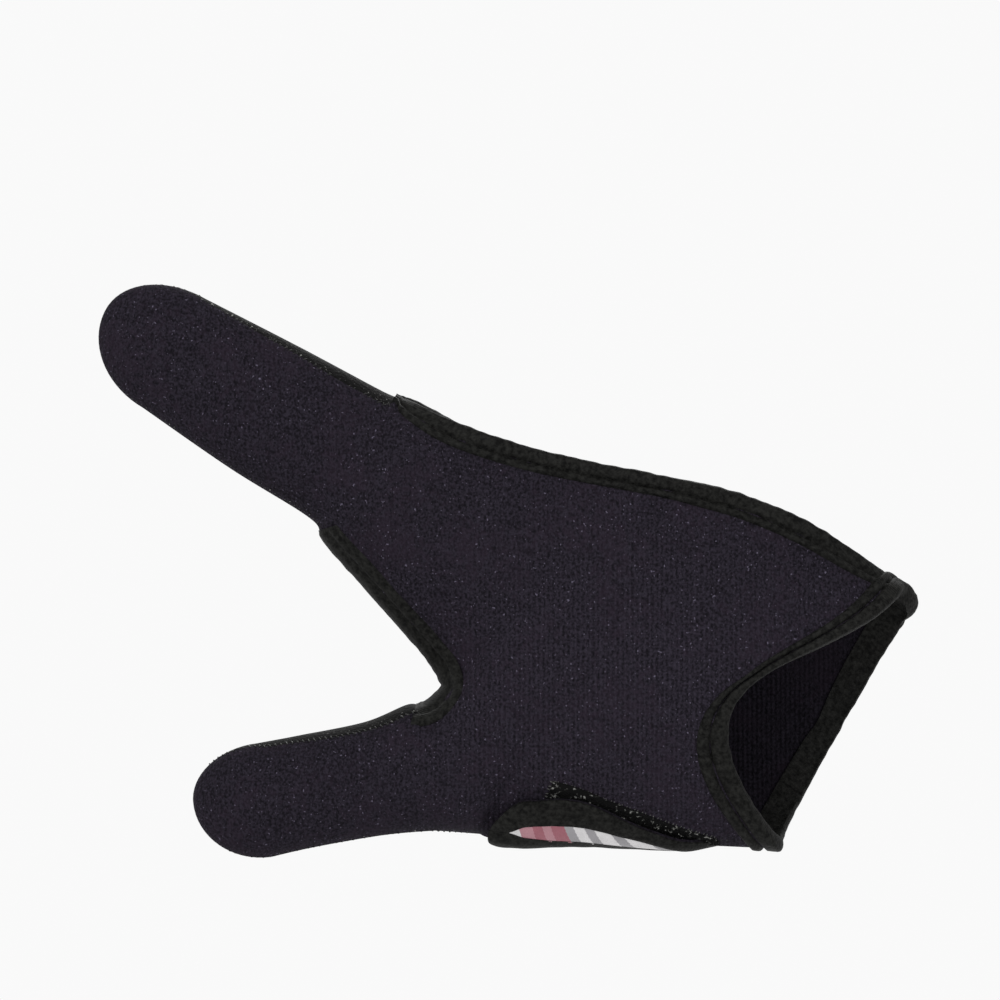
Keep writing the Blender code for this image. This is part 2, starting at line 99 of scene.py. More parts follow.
IndexRow = namedtuple("IndexRow", "along up low back palm fullness")
INDEX_ROWS = [
    IndexRow(along=0.709, up=0.355, low=-0.544, back=0.86, palm=0.86, fullness=0.90),
    IndexRow(along=0.330, up=0.393, low=-0.607, back=1.00, palm=1.00, fullness=0.90),
    IndexRow(along=0.000, up=0.415, low=-0.629, back=1.06, palm=1.06, fullness=0.88),
]
INDEX_TIP_CENTRE = -0.060

HandRow = namedtuple(
    "HandRow",
    "up_along up_across low_along low_across opening bow back palm fullness reach lift",
)
HAND_ROWS = [
    HandRow(0.933, 0.197, 0.958, -0.320, 25, 0.000, 0.78, 0.66, 0.86, 0.000, 0.010),
    HandRow(0.838, 0.213, 0.862, -0.380, 62, 0.000, 0.88, 0.76, 0.88, 0.000, 0.000),
    HandRow(0.723, 0.257, 0.769, -0.437, 72, 0.000, 0.95, 0.84, 0.92, 0.000, -0.030),
    HandRow(0.615, 0.319, 0.700, -0.482, 75, 0.000, 0.98, 0.90, 0.95, 0.000, -0.036),
    HandRow(0.523, 0.377, 0.645, -0.537, 75, 0.000, 1.00, 0.96, 0.95, 0.000, -0.036),
    HandRow(0.438, 0.429, 0.556, -0.720, 74, 0.008, 1.01, 1.02, 0.90, 0.000, -0.036),
    HandRow(0.346, 0.472, 0.464, -0.898, 68, 0.030, 1.03, 1.05, 0.85, 0.000, -0.036),
    HandRow(0.223, 0.495, 0.274, -0.718, 48, 0.100, 1.10, 1.08, 0.80, 0.010, -0.036),
    HandRow(0.052, 0.476, 0.000, -0.455, 10, 0.189, 1.19, 1.08, 0.80, 0.046, -0.020),
]
BOW_SKEW = 1.7
BOW_FULLNESS = 0.85
WEB_ROW = 7
LOWER_ROW = 9
WRIST_ROW = 11
# Where the open slit at the knuckles starts, and over how many rows it opens
SLIT_ROW = 2.3
SLIT_EASE = 0.45

ThumbRow = namedtuple("ThumbRow", "along up low back palm fullness")
THUMB_ROWS = [
    ThumbRow(along=0.000, up=0.000, low=0.000, back=1.40, palm=1.66, fullness=0.85),
    ThumbRow(along=0.110, up=0.515, low=-0.594, back=1.33, palm=1.55, fullness=0.86),
    ThumbRow(along=0.177, up=0.538, low=-0.575, back=1.27, palm=1.46, fullness=0.86),
    ThumbRow(along=0.339, up=0.433, low=-0.567, back=1.13, palm=1.27, fullness=0.88),
    ThumbRow(along=0.581, up=0.387, low=-0.598, back=1.00, palm=1.06, fullness=0.90),
    ThumbRow(along=0.742, up=0.363, low=-0.637, back=0.90, palm=0.92, fullness=0.90),
]
THUMB_TIP_CENTRE = -0.090
LAST_THUMB_ROW = len(THUMB_ROWS) - 1

# How far the palm cloth comes round onto the back at each stall's upper edge, as a share of the
# half turn from the upper edge to the lower one: section, share
SeamRow = namedtuple("SeamRow", "section turn")
INDEX_SEAM = [
    SeamRow(-1.00, 0.00), SeamRow(-0.35, 0.01), SeamRow(0.10, 0.100), SeamRow(0.80, 0.155),
    SeamRow(1.60, 0.190), SeamRow(2.20, 0.190), SeamRow(2.60, 0.00), SeamRow(11.0, 0.00),
]
THUMB_SEAM = [
    SeamRow(0.00, 0.00), SeamRow(1.20, 0.00), SeamRow(1.70, 0.17), SeamRow(2.40, 0.19),
    SeamRow(3.30, 0.17), SeamRow(4.60, 0.13), SeamRow(5.20, 0.07), SeamRow(5.60, 0.00),
    SeamRow(6.00, 0.00),
]

# The strap, from its nose to its sewn end: its two edges and its window's two edges round the
# thumb side, from the palm to the back, as shares of its width
StrapRow = namedtuple("StrapRow", "section start low high stop")
STRAP_ROWS = [
    StrapRow(9.08, 0.06, 0.420, 0.430, 0.74),
    StrapRow(9.28, -0.05, 0.430, 0.440, 0.79),
    StrapRow(9.42, -0.12, 0.385, 0.510, 0.80),
    StrapRow(9.70, -0.22, 0.335, 0.515, 0.80),
    StrapRow(10.05, -0.36, 0.310, 0.480, 0.72),
    StrapRow(10.34, -0.62, 0.225, 0.330, 0.50),
    StrapRow(10.54, -1.15, -0.050, 0.010, 0.34),
    StrapRow(10.70, -1.90, -0.500, -0.400, 0.18),
]
STRAP_NOSE_SECTIONS = 0.27
WINDOW_SECTIONS = (9.28, 10.46)
# The strap stands on both patches from the first of these shares of its width to the second, and
# sinks to its seam on the palm between two sections
STRAP_RISE = (0.06, 0.34)
STRAP_SEWN_SECTIONS = (10.42, 10.70)
STRAP_SINK = 0.0022
STRAP_CLEARANCE = 0.0002
PATCH_STACK = 0.0014
WEB_THICKNESS = 0.0007

CoverRow = namedtuple("CoverRow", "section start stop")
LOOP_ROWS = [
    CoverRow(9.56, 0.24, 0.98),
    CoverRow(10.00, 0.24, 0.82),
    CoverRow(10.30, 0.24, 0.66),
    CoverRow(10.62, 0.24, 0.36),
]

# The label's weave, from its tip to its far end: where each slanted stripe starts, as a share of
# the label's length, and its colour
LabelStripe = namedtuple("LabelStripe", "start colour")
LABEL_STRIPES = [
    LabelStripe(0.00, "pale"), LabelStripe(0.10, "rose"), LabelStripe(0.20, "red"),
    LabelStripe(0.27, "rose"), LabelStripe(0.33, "red"), LabelStripe(0.42, "grey"),
    LabelStripe(0.48, "pale"), LabelStripe(0.55, "grey"), LabelStripe(0.61, "pale"),
    LabelStripe(0.70, "grey"), LabelStripe(0.76, "pale"), LabelStripe(0.87, "grey"),
]
LABEL_COLOURS = ["pale", "grey", "rose", "red"]
# How far the stripes lean across the label, as a share of its length
LABEL_LEAN = 0.06

Frame = namedtuple("Frame", "along across")
Section = namedtuple("Section", "up low opening bow depth fullness")
SMALL_STEP = 1e-3
TINY = 1e-6
EDGE_STEP = 0.0003
# The highest share of the hand's depth at which the thumb's wall may join it
STEEPEST_JOIN = 0.98
# The slight waves of cloth over a hand: how deep, and how long
RIPPLE_DEPTH = 0.0007
RIPPLE_LENGTH = 0.014


def plane_frame(angle):
    """Unit vectors along and across a direction in the picture plane."""
    along = Vector((math.cos(angle), 0, math.sin(angle)))
    return Frame(along, Vector((along.z, 0, -along.x)))


HAND = plane_frame(HAND_ANGLE)
THUMB = plane_frame(THUMB_ANGLE)
OUT_OF_BACK = Vector((0, -1, 0))


def smoothstep(low, high, value):
    t = min(max((value - low) / (high - low), 0), 1)
    return t * t * (3 - 2 * t)


def smooth_row(rows, at):
    """The values of a table of rows at a fractional row, on a smooth curve through the rows."""
    first = min(max(int(math.floor(at)), 0), len(rows) - 2)
    t = at - first
    before, here, there, after = (rows[min(max(first + i, 0), len(rows) - 1)] for i in (-1, 0, 1, 2))
    return [
        q + 0.5 * t * ((r - p) + t * ((2 * p - 5 * q + 4 * r - s) + t * (3 * q - p - 3 * r + s)))
        for p, q, r, s in zip(before, here, there, after)
    ]


def row_at(rows, section):
    """The fractional row of a table whose first column reaches a section."""
    for i, (row, following) in enumerate(zip(rows, rows[1:])):
        if section <= following[0] or i == len(rows) - 2:
            return i + (section - row[0]) / (following[0] - row[0])


def straight_value(rows, section):
    """The second column of a table at a section, eased between its rows."""
    at = min(max(row_at(rows, section), 0), len(rows) - 1)
    first = min(int(at), len(rows) - 2)
    return rows[first][1] + (rows[first + 1][1] - rows[first][1]) * smoothstep(0, 1, at - first)


def hand_place(along, across):
    return HAND.along * along + HAND.across * across


def index_values(row, palm):
    """An index row as lengths: both ends along and across, opening, bow, depth and fullness."""
    along = HAND_LENGTH + row.along * INDEX_LENGTH
    depth = INDEX_DEPTH * (row.palm if palm else row.back)
    return [along, row.up * INDEX_WIDTH, along, row.low * INDEX_WIDTH, 0, 0, depth, row.fullness]


def hand_values(row, palm):
    """A hand row as lengths, like an index row's."""
    return [
        (row.up_along - (row.reach if palm else 0)) * HAND_LENGTH,
        (row.up_across + (row.lift if palm else 0)) * HAND_WIDTH,
        row.low_along * HAND_LENGTH,
        row.low_across * HAND_WIDTH,
        row.opening,
        0 if palm else row.bow * HAND_LENGTH,
        PALM_DEPTH * row.palm if palm else BACK_DEPTH * row.back,
        row.fullness,
    ]


BODY_TABLES = {
    palm: [index_values(row, palm) for row in INDEX_ROWS] + [hand_values(row, palm) for row in HAND_ROWS]
    for palm in (False, True)
}


def body_section(at, palm):
    """The section of the index stall and hand at a fractional row; below zero it closes the tip."""
    values = smooth_row(BODY_TABLES[palm], max(at, 0))
    up_along, up_across, low_along, low_across, opening, bow, depth, fullness = values
    opening *= smoothstep(SLIT_ROW, SLIT_ROW + SLIT_EASE, at)
    if at < 0:
        turn = math.radians(90) * -at
        reach = (1 - INDEX_ROWS[0].along) * INDEX_LENGTH * math.sin(turn)
        centre = INDEX_TIP_CENTRE * INDEX_WIDTH
        width = math.cos(turn)
        up_along, low_along = up_along + reach, low_along + reach
        up_across = centre + (up_across - centre) * width
        low_across = centre + (low_across - centre) * width
        depth *= width**TIP_FULLNESS
    up = hand_place(up_along, up_across)
    low = hand_place(low_along, low_across)
    return Section(up, low, math.radians(max(opening, 0)), bow, depth, fullness)


def body_corner(row):
    values = HAND_ROWS[row - len(INDEX_ROWS)]
    return hand_place(values.low_along * HAND_LENGTH, values.low_across * HAND_WIDTH)


WEB_CORNER = body_corner(WEB_ROW)
LOWER_CORNER = body_corner(LOWER_ROW)


def thumb_place(along, across):
    return (WEB_CORNER + LOWER_CORNER) / 2 + THUMB.along * along + THUMB.across * across


def thumb_values(row, palm):
    """A thumb row as lengths: both ends, depth and fullness. The first is the base line."""
    along = row.along * THUMB_LENGTH
    up = thumb_place(along, row.up * THUMB_WIDTH) if row.along else WEB_CORNER
    low = thumb_place(along, row.low * THUMB_WIDTH) if row.along else LOWER_CORNER
    return [up, low, THUMB_DEPTH * (row.palm if palm else row.back), row.fullness]


THUMB_TABLES = {palm: [thumb_values(row, palm) for row in THUMB_ROWS] for palm in (False, True)}


def thumb_section(at, palm):
    """The section of the thumb stall at a fractional row; past the last row it closes the tip."""
    up, low, depth, fullness = smooth_row(THUMB_TABLES[palm], min(at, LAST_THUMB_ROW))
    if at > LAST_THUMB_ROW:
        turn = math.radians(90) * (at - LAST_THUMB_ROW)
        last = THUMB_ROWS[-1].along
        reach = THUMB.along * ((1 - last) * THUMB_LENGTH * math.sin(turn))
        centre = thumb_place(last * THUMB_LENGTH, THUMB_TIP_CENTRE * THUMB_WIDTH)
        width = math.cos(turn)
        up = centre + (up - centre) * width + reach
        low = centre + (low - centre) * width + reach
        depth *= width**TIP_FULLNESS
    return Section(up, low, 0, 0, depth, fullness)


def signed_power(value, power):
    return math.copysign(abs(value) ** power, value)


def point_on(section, angle, end_angle, low=None):
    """A point of a section's wall, at an angle from its upper edge round to its lower one."""
    low = section.low if low is None else low
    first = signed_power(math.cos(section.opening), section.fullness)
    last = signed_power(math.cos(end_angle), section.fullness)
    share = (first - signed_power(math.cos(angle), section.fullness)) / (first - last)
    hollow = max(math.sin(math.pi * min(max(share, 0), 1) ** BOW_SKEW), 0) ** BOW_FULLNESS
    place = section.up.lerp(low, share) + HAND.along * (section.bow * hollow)
    rise = max(math.sin(angle), 0) ** section.fullness
    ripple = RIPPLE_DEPTH * noise.noise(place / RIPPLE_LENGTH) * rise
    return place, section.depth * rise + ripple


def to_space(place, depth, palm):
    """Moves a point of the picture plane out to its depth, on the palm side or on the back."""
    return place + OUT_OF_BACK * ((depth + SEAM_GAP / 2) * (-1 if palm else 1))


def body_point(at, share, palm):
    """A point of the index and hand wall: share runs from its upper edge to its lower one, and
    below zero it goes on round a closed upper edge onto the other side."""
    if share < 0:
        palm, share = not palm, -share
    section = body_section(at, palm)
    low, end_angle = None, math.pi
    if WEB_ROW - TINY < at < LOWER_ROW + TINY:
        turn = math.pi * (at - WEB_ROW) / (LOWER_ROW - WEB_ROW)
        low, low_depth = point_on(thumb_section(0, palm), turn, math.pi)
        if share > 1 - TINY:
            return to_space(low, low_depth, palm)
        rise = min(max(low_depth / section.depth, 0), STEEPEST_JOIN)
        end_angle = math.pi - math.asin(rise ** (1 / section.fullness))
    angle = section.opening + (end_angle - section.opening) * share
    return to_space(*point_on(section, angle, end_angle, low), palm)


def thumb_point(at, share, palm):
    """A point of the thumb wall, as the hand's."""
    if share < 0:
        palm, share = not palm, -share
    return to_space(*point_on(thumb_section(at, palm), math.pi * share, math.pi), palm)


def wall_normal(surface, at, share, palm):
    """The outward normal of a wall, measured between close points."""
    before, after = max(share - SMALL_STEP, 0), min(share + SMALL_STEP, 1)
    ahead = surface(at + SMALL_STEP, share, palm) - surface(at - SMALL_STEP, share, palm)
    side = surface(at, after, palm) - surface(at, before, palm)
    normal = ahead.cross(side).normalized()
    return normal if palm else -normal


# The skin round the panels' shared edge, measured out from the edge

EDGE_SAMPLES = 90
EDGE_REACH = 0.7
EDGE_CACHE = {}


def edge_samples(surface, at, palm):
    """The chord from the edge to points round the skin, with their shares, kept for reuse."""
    key = (surface.__name__, round(at, 6), palm)
    if key not in EDGE_CACHE:
        edge = 0 if surface is thumb_point else 1
        shares = [abs(edge - EDGE_REACH * (i / EDGE_SAMPLES) ** 1.5) for i in range(EDGE_SAMPLES + 1)]
        start = surface(at, edge, palm)
        EDGE_CACHE[key] = [((surface(at, share, palm) - start).length, share) for share in shares]
    return EDGE_CACHE[key]


def around_edge(surface, at, away):
    """The skin's point a distance round the panels' shared edge: the back is positive."""
    palm = away < 0
    samples = edge_samples(surface, at, palm)
    wanted = abs(away)
    for (gone, share), (following, next_share) in zip(samples, samples[1:]):
        if following >= wanted:
            t = (wanted - gone) / max(following - gone, 1e-9)
            return surface(at, share + (next_share - share) * t, palm)
    return surface(at, samples[-1][1], palm)


def edge_normal(surface, at, away):
    """The outward normal of the skin round the panels' shared edge."""
    before = at if at < SMALL_STEP else at - SMALL_STEP
    after = at if abs(at - WEB_ROW) < SMALL_STEP else at + SMALL_STEP
    ahead = around_edge(surface, after, away) - around_edge(surface, before, away)
    side = around_edge(surface, at, away - EDGE_STEP) - around_edge(surface, at, away + EDGE_STEP)
    return side.cross(ahead).normalized()


# Building blocks

CUT_EDGE_TURN = 50


def finish_piece(name, bm, materials, node=None, smooth=60):
    """Turns a bmesh into a shaded piece that rides with the glove and may stand for a solid."""
    mesh = bpy.data.meshes.new(name)
    bm.to_mesh(mesh)
    bm.free()
    for material in materials:
        mesh.materials.append(material)
    mesh.shade_smooth()
    mesh.set_sharp_from_angle(angle=math.radians(smooth))
    piece = bpy.data.objects.new(name, mesh)
    bpy.context.scene.collection.objects.link(piece)
    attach(piece, "root")
    if node:
        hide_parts(node)
    return piece


def add_grid(bm, columns, rows, place):
    """A grid of faces whose corners are moved to place(u, v), with u and v running from 0 to 1."""
    made = bmesh.ops.create_grid(bm, x_segments=columns, y_segments=rows, size=0.5)
    for vert in made["verts"]:
        vert.co = place(vert.co.x + 0.5, vert.co.y + 0.5)
    return made["verts"]


def add_loft(bm, rings, closed=False):
    """A closed skin through rings of points, with filled ends unless it runs round in a loop."""
    columns = len(rings) if closed else len(rings) - 1
    points = len(rings[0])
    made = add_grid(
        bm, columns, points,
        lambda u, v: rings[round(u * columns) % len(rings)][round(v * points) % points],
    )
    bmesh.ops.remove_doubles(bm, verts=made, dist=1e-7)
    if not closed:
        ends = [edge for edge in bm.edges if edge.is_boundary]
        bmesh.ops.holes_fill(bm, edges=ends, sides=0)
    bmesh.ops.recalc_face_normals(bm, faces=bm.faces)


def walk(points, spacing):
    """Places at equal distances along a line of points: position, direction and point number."""
    left = spacing / 2
    for i, (here, there) in enumerate(zip(points, points[1:])):
        length = (there - here).length
        while left <= length and length > 0:
            yield here.lerp(there, left / length), (there - here).normalized(), i + left / length
            left += spacing
        left -= length


def stitch(centre, direction, outward, length, thickness):
    """Where one stitch lies: a small pod of thread along a direction."""
    across = outward.cross(direction).normalized()
    up = direction.cross(across)
    turn = Matrix((direction, across, up)).transposed().to_4x4()
    size = Matrix.Diagonal((length / 2, thickness / 2, thickness / 2, 1))
    return Matrix.Translation(centre) @ turn @ size @ Matrix.Rotation(math.radians(90), 4, "Y")


def soften_edges(piece, radius):
    """Rounds a cloth piece's cut edges."""
    cut = piece.modifiers.new("cut_edges", "BEVEL")
    cut.width = radius
    cut.segments = 3
    cut.limit_method = "ANGLE"
    cut.angle_limit = math.radians(CUT_EDGE_TURN)


def finish_stitches(name, places, material):
    """Many small pods at once: one sphere, doubled until there are enough and then placed."""
    bm = bmesh.new()
    number = bm.verts.layers.int.new("number")
    bmesh.ops.create_uvsphere(bm, u_segments=6, v_segments=4, radius=1)
    count = 1
    while count < len(places):
        made = bmesh.ops.duplicate(bm, geom=bm.verts[:] + bm.edges[:] + bm.faces[:])["geom"]
        for vert in (part for part in made if isinstance(part, bmesh.types.BMVert)):
            vert[number] += count
        count *= 2
    spare = []
    for vert in bm.verts:
        if vert[number] < len(places):
            vert.co = places[vert[number]] @ vert.co
        else:
            spare.append(vert)
    bmesh.ops.delete(bm, geom=spare, context="VERTS")
    finish_piece(name, bm, [material], smooth=180)


def add_node(tree, kind, inputs=None, **settings):
    """Adds a node with its settings, and sets or links its inputs."""
    made = tree.nodes.new(kind)
    for name, value in settings.items():
        setattr(made, name, value)
    for key, value in (inputs or {}).items():
        if isinstance(value, bpy.types.NodeSocket):
            tree.links.new(value, made.inputs[key])
        else:
            made.inputs[key].default_value = value
    return made


def start_material(name, roughness, specular):
    """A new material, its tree, its shader and the object's own coordinates."""
    material = bpy.data.materials.new(name)
    material.use_nodes = True
    tree = material.node_tree
    shader = tree.nodes["Principled BSDF"]
    shader.inputs["Roughness"].default_value = roughness
    shader.inputs["Specular IOR Level"].default_value = specular
    place = add_node(tree, "ShaderNodeTexCoord").outputs["Object"]
    return material, tree, shader, place


def finish_material(tree, shader, ground, layers, reliefs):
    """Lays colours over the ground, each where its factor is 1, and reliefs over one another.

    A relief has a height, its real depth in metres and its strength.
    """
    colour, normal = ground, None
    for factor, layer in layers:
        inputs = {0: factor, 6: colour, 7: layer}
        colour = add_node(tree, "ShaderNodeMix", inputs, data_type="RGBA").outputs[2]
    tree.links.new(colour, shader.inputs["Base Color"])
    for height, depth, strength in reliefs:
        inputs = {"Height": height, "Distance": depth, "Strength": strength}
        if normal:
            inputs["Normal"] = normal
        normal = add_node(tree, "ShaderNodeBump", inputs).outputs["Normal"]
    tree.links.new(normal, shader.inputs["Normal"])


def wave_scale(period):
    """The Wave texture's scale for bands that repeat after a length in metres."""
    return math.pi / 10 / period


def shade_of(colour, factor=1.0):
    """A colour made lighter or darker by a factor, with its alpha."""
    return (*(min(c * factor, 1.0) for c in colour), 1.0)


# Where the knit's ribs show strongest in its colour, and how far from there they fade
RIB_CENTRE = (-0.055, -0.02, 0.005)
RIB_FADE = (0.020, 0.060)
# Sizes in metres of what the eye can tell apart in each cloth
YARN_GRAIN = 0.00055
HEATHER_CLOUD = 0.012
HEATHER_FLECK = 0.0006
WARM_FIBRE = 0.0012
GRIP_GRAIN = 0.00085
GRIP_GLINT = 0.0005
TWILL_SPACING = 0.00055
TAPE_FUZZ = 0.0011
TAPE_CRUSH = 0.0045
THREAD_STRAND = 0.0012
PILE_TUFT = 0.0009
LABEL_RIB = 0.0005
LABEL_WEAR = 0.003
HOOK_SPACING = 0.0011


def knit_material(name, rib_spacing, base, fleck):
    """Jersey knit bonded on foam rubber: heather yarn in fine upright ribs, matt and a little hairy.

    The ribs are drawn a little coarser than real ones, so that they show in the picture.
    """
    material, tree, shader, place = start_material(name, 0.95, 0.05)
    ribs, courses = (
        add_node(tree, "ShaderNodeTexWave", {
            "Vector": place, "Scale": wave_scale(period), "Distortion": distortion,
            "Detail": 2.0, "Detail Scale": 2.2,
        }, wave_type="BANDS", bands_direction=direction).outputs["Fac"]
        for period, distortion, direction in ((rib_spacing, 1.3, "X"), (rib_spacing * 0.72, 1.8, "Z"))
    )
    yarn = add_node(tree, "ShaderNodeTexNoise", {
        "Vector": place, "Scale": 1 / YARN_GRAIN, "Detail": 3.0, "Roughness": 0.65,
    }).outputs["Fac"]
    heather = add_node(tree, "ShaderNodeMapRange", {
        "Value": yarn, "From Min": 0.40, "From Max": 0.62,
    }).outputs["Result"]
    away = add_node(tree, "ShaderNodeVectorMath", {0: place, 1: RIB_CENTRE}, operation="DISTANCE")
    clear = add_node(tree, "ShaderNodeMapRange", {
        "Value": away.outputs["Value"], "From Min": RIB_FADE[0], "From Max": RIB_FADE[1],
        "To Min": 1.0, "To Max": 0.25,
    }).outputs["Result"]
    ribbed = add_node(tree, "ShaderNodeMath", {0: ribs, 1: 0.34}, operation="MULTIPLY").outputs[0]
    ribbed = add_node(tree, "ShaderNodeMath", {0: ribbed, 1: clear}, operation="MULTIPLY").outputs[0]
    shade = add_node(tree, "ShaderNodeMath", {0: heather, 1: ribbed}, operation="ADD").outputs[0]
    shade = add_node(tree, "ShaderNodeMath", {0: shade, 1: 0.75}, operation="MULTIPLY").outputs[0]
    warm = tuple(c * k for c, k in zip(base, (1.18, 0.96, 1.04)))
    cloud, fibre = (
        add_node(tree, "ShaderNodeTexNoise", {"Vector": place, "Scale": 1 / size}).outputs["Fac"]
        for size in (HEATHER_CLOUD, WARM_FIBRE)
    )
    both = add_node(tree, "ShaderNodeMath", {0: cloud, 1: fibre}, operation="ADD").outputs[0]
    tint = add_node(tree, "ShaderNodeMapRange", {
        "Value": both, "From Min": 0.95, "From Max": 1.25, "To Max": 0.5,
    }).outputs["Result"]
    flecks = add_node(tree, "ShaderNodeTexNoise", {
        "Vector": place, "Scale": 1 / HEATHER_FLECK, "Detail": 1.0,
    }).outputs["Fac"]
    bright = add_node(tree, "ShaderNodeMapRange", {
        "Value": flecks, "From Min": 0.70, "From Max": 0.76,
    }).outputs["Result"]
    layers = [(shade, shade_of(base, 1.60)), (tint, shade_of(warm)), (bright, shade_of(fleck))]
    reliefs = [(ribs, 0.00016, 0.8), (courses, 0.00004, 0.4), (yarn, 0.00010, 0.6)]
    finish_material(tree, shader, shade_of(base, 0.30), layers, reliefs)
    return material


def palm_material(name, base, painted_glint):
    """Grained grip cloth: black and close, with painted glints where glassy grains would catch the light.
    """
    material, tree, shader, place = start_material(name, 0.8, 0.05)
    grain = add_node(tree, "ShaderNodeTexVoronoi", {"Vector": place, "Scale": 1 / GRIP_GRAIN})
    weave = add_node(tree, "ShaderNodeTexNoise", {
        "Vector": place, "Scale": 1 / GRIP_GLINT, "Detail": 2.0,
    }).outputs["Fac"]
    # Painted glints: light specks painted into the base colour as highlights on the grains
    painted_glints = add_node(tree, "ShaderNodeMapRange", {
        "Value": weave, "From Min": 0.67, "From Max": 0.74,
    }).outputs["Result"]
    layers = [(weave, shade_of(base, 1.8)), (painted_glints, shade_of(painted_glint))]
    reliefs = [(grain.outputs["Distance"], 0.0002, 0.7), (weave, 0.0001, 0.5)]
    finish_material(tree, shader, shade_of(base, 0.5), layers, reliefs)
    return material


def tape_material(name, base):
    """Stretch binding tape: a close matt twill, fuzzy and crushed a little where it is sewn."""
    material, tree, shader, place = start_material(name, 0.65, 0.05)
    twill = add_node(tree, "ShaderNodeTexWave", {
        "Vector": place, "Scale": wave_scale(TWILL_SPACING), "Distortion": 0.8, "Detail": 2.0,
    }, wave_type="BANDS", bands_direction="DIAGONAL").outputs["Fac"]
    fuzz = add_node(tree, "ShaderNodeTexNoise", {
        "Vector": place, "Scale": 1 / TAPE_FUZZ, "Detail": 4.0, "Roughness": 0.7,
    }).outputs["Fac"]
    crush = add_node(tree, "ShaderNodeTexNoise", {
        "Vector": place, "Scale": 1 / TAPE_CRUSH, "Detail": 2.0,
    }).outputs["Fac"]
    worn = add_node(tree, "ShaderNodeMapRange", {
        "Value": fuzz, "From Min": 0.38, "From Max": 0.66,
    }).outputs["Result"]
    reliefs = [(crush, 0.0006, 0.5), (twill, 0.00006, 0.7), (fuzz, 0.00010, 0.6)]
    finish_material(tree, shader, shade_of(base, 0.35), [(worn, shade_of(base, 2.4))], reliefs)
    return material


def thread_material(name, base, painted_glint):
    """Spun polyester thread: dark, with short lengths painted light as glints where it turns over the
    edge.
    """
    material, tree, shader, place = start_material(name, 0.5, 0.2)
    strand = add_node(tree, "ShaderNodeTexNoise", {
        "Vector": place, "Scale": 1 / THREAD_STRAND, "Detail": 2.0,
    }).outputs["Fac"]
    # Painted glints: patches of the strand painted in the glint colour as highlights
    bright = add_node(tree, "ShaderNodeMapRange", {
        "Value": strand, "From Min": 0.55, "From Max": 0.66,
    }).outputs["Result"]
    finish_material(tree, shader, shade_of(base), [(bright, shade_of(painted_glint))], [(strand, 0.0001, 0.5)])
    return material


def pile_material(name, base, painted_glint):
    """Nylon loop pile: a black fuzz of hooked-up loops, some ends painted light as glints."""
    material, tree, shader, place = start_material(name, 0.8, 0.08)
    tuft = add_node(tree, "ShaderNodeTexNoise", {
        "Vector": place, "Scale": 1 / PILE_TUFT, "Detail": 3.0,
    }).outputs["Fac"]
    # Painted glints on the loop ends
    bright = add_node(tree, "ShaderNodeMapRange", {
        "Value": tuft, "From Min": 0.60, "From Max": 0.72,
    }).outputs["Result"]
    finish_material(tree, shader, shade_of(base), [(bright, shade_of(painted_glint))], [(tuft, 0.0004, 0.8)])
    return material


def label_material(name, base):
    """Woven label: flat polyester threads, faintly ribbed across."""
    material, tree, shader, place = start_material(name, 0.5, 0.45)
    rib = add_node(tree, "ShaderNodeTexWave", {
        "Vector": place, "Scale": wave_scale(LABEL_RIB), "Distortion": 0.4,
    }, wave_type="BANDS", bands_direction="X").outputs["Fac"]
    worn = add_node(tree, "ShaderNodeTexNoise", {
        "Vector": place, "Scale": 1 / LABEL_WEAR, "Detail": 3.0,
    }).outputs["Fac"]
    layers = [(worn, shade_of(base, 1.12))]
    finish_material(tree, shader, shade_of(base, 0.78), layers, [(rib, 0.00006, 0.6)])
    return material


def hook_material(name, base):
    """Moulded nylon hooks on a woven ground: a field of tiny knobs."""
    material, tree, shader, place = start_material(name, 0.4, 0.5)
    knobs = add_node(tree, "ShaderNodeTexVoronoi", {
        "Vector": place, "Scale": 1 / HOOK_SPACING, "Randomness": 0.25,
    }).outputs["Distance"]
    finish_material(tree, shader, shade_of(base, 1.8), [(knobs, shade_of(base))], [(knobs, 0.0005, 0.8)])
    return material


# Settings

def colour_setting(name, description, code):
    return bpy.props.FloatVectorProperty(
        name=name, description=description, subtype="COLOR", default=hex_colour(code), min=0, max=1,
    )


def length_setting(name, description, default, low, high):
    return bpy.props.FloatProperty(
        name=name, description=description, default=default, min=low, max=high, unit="LENGTH",
    )


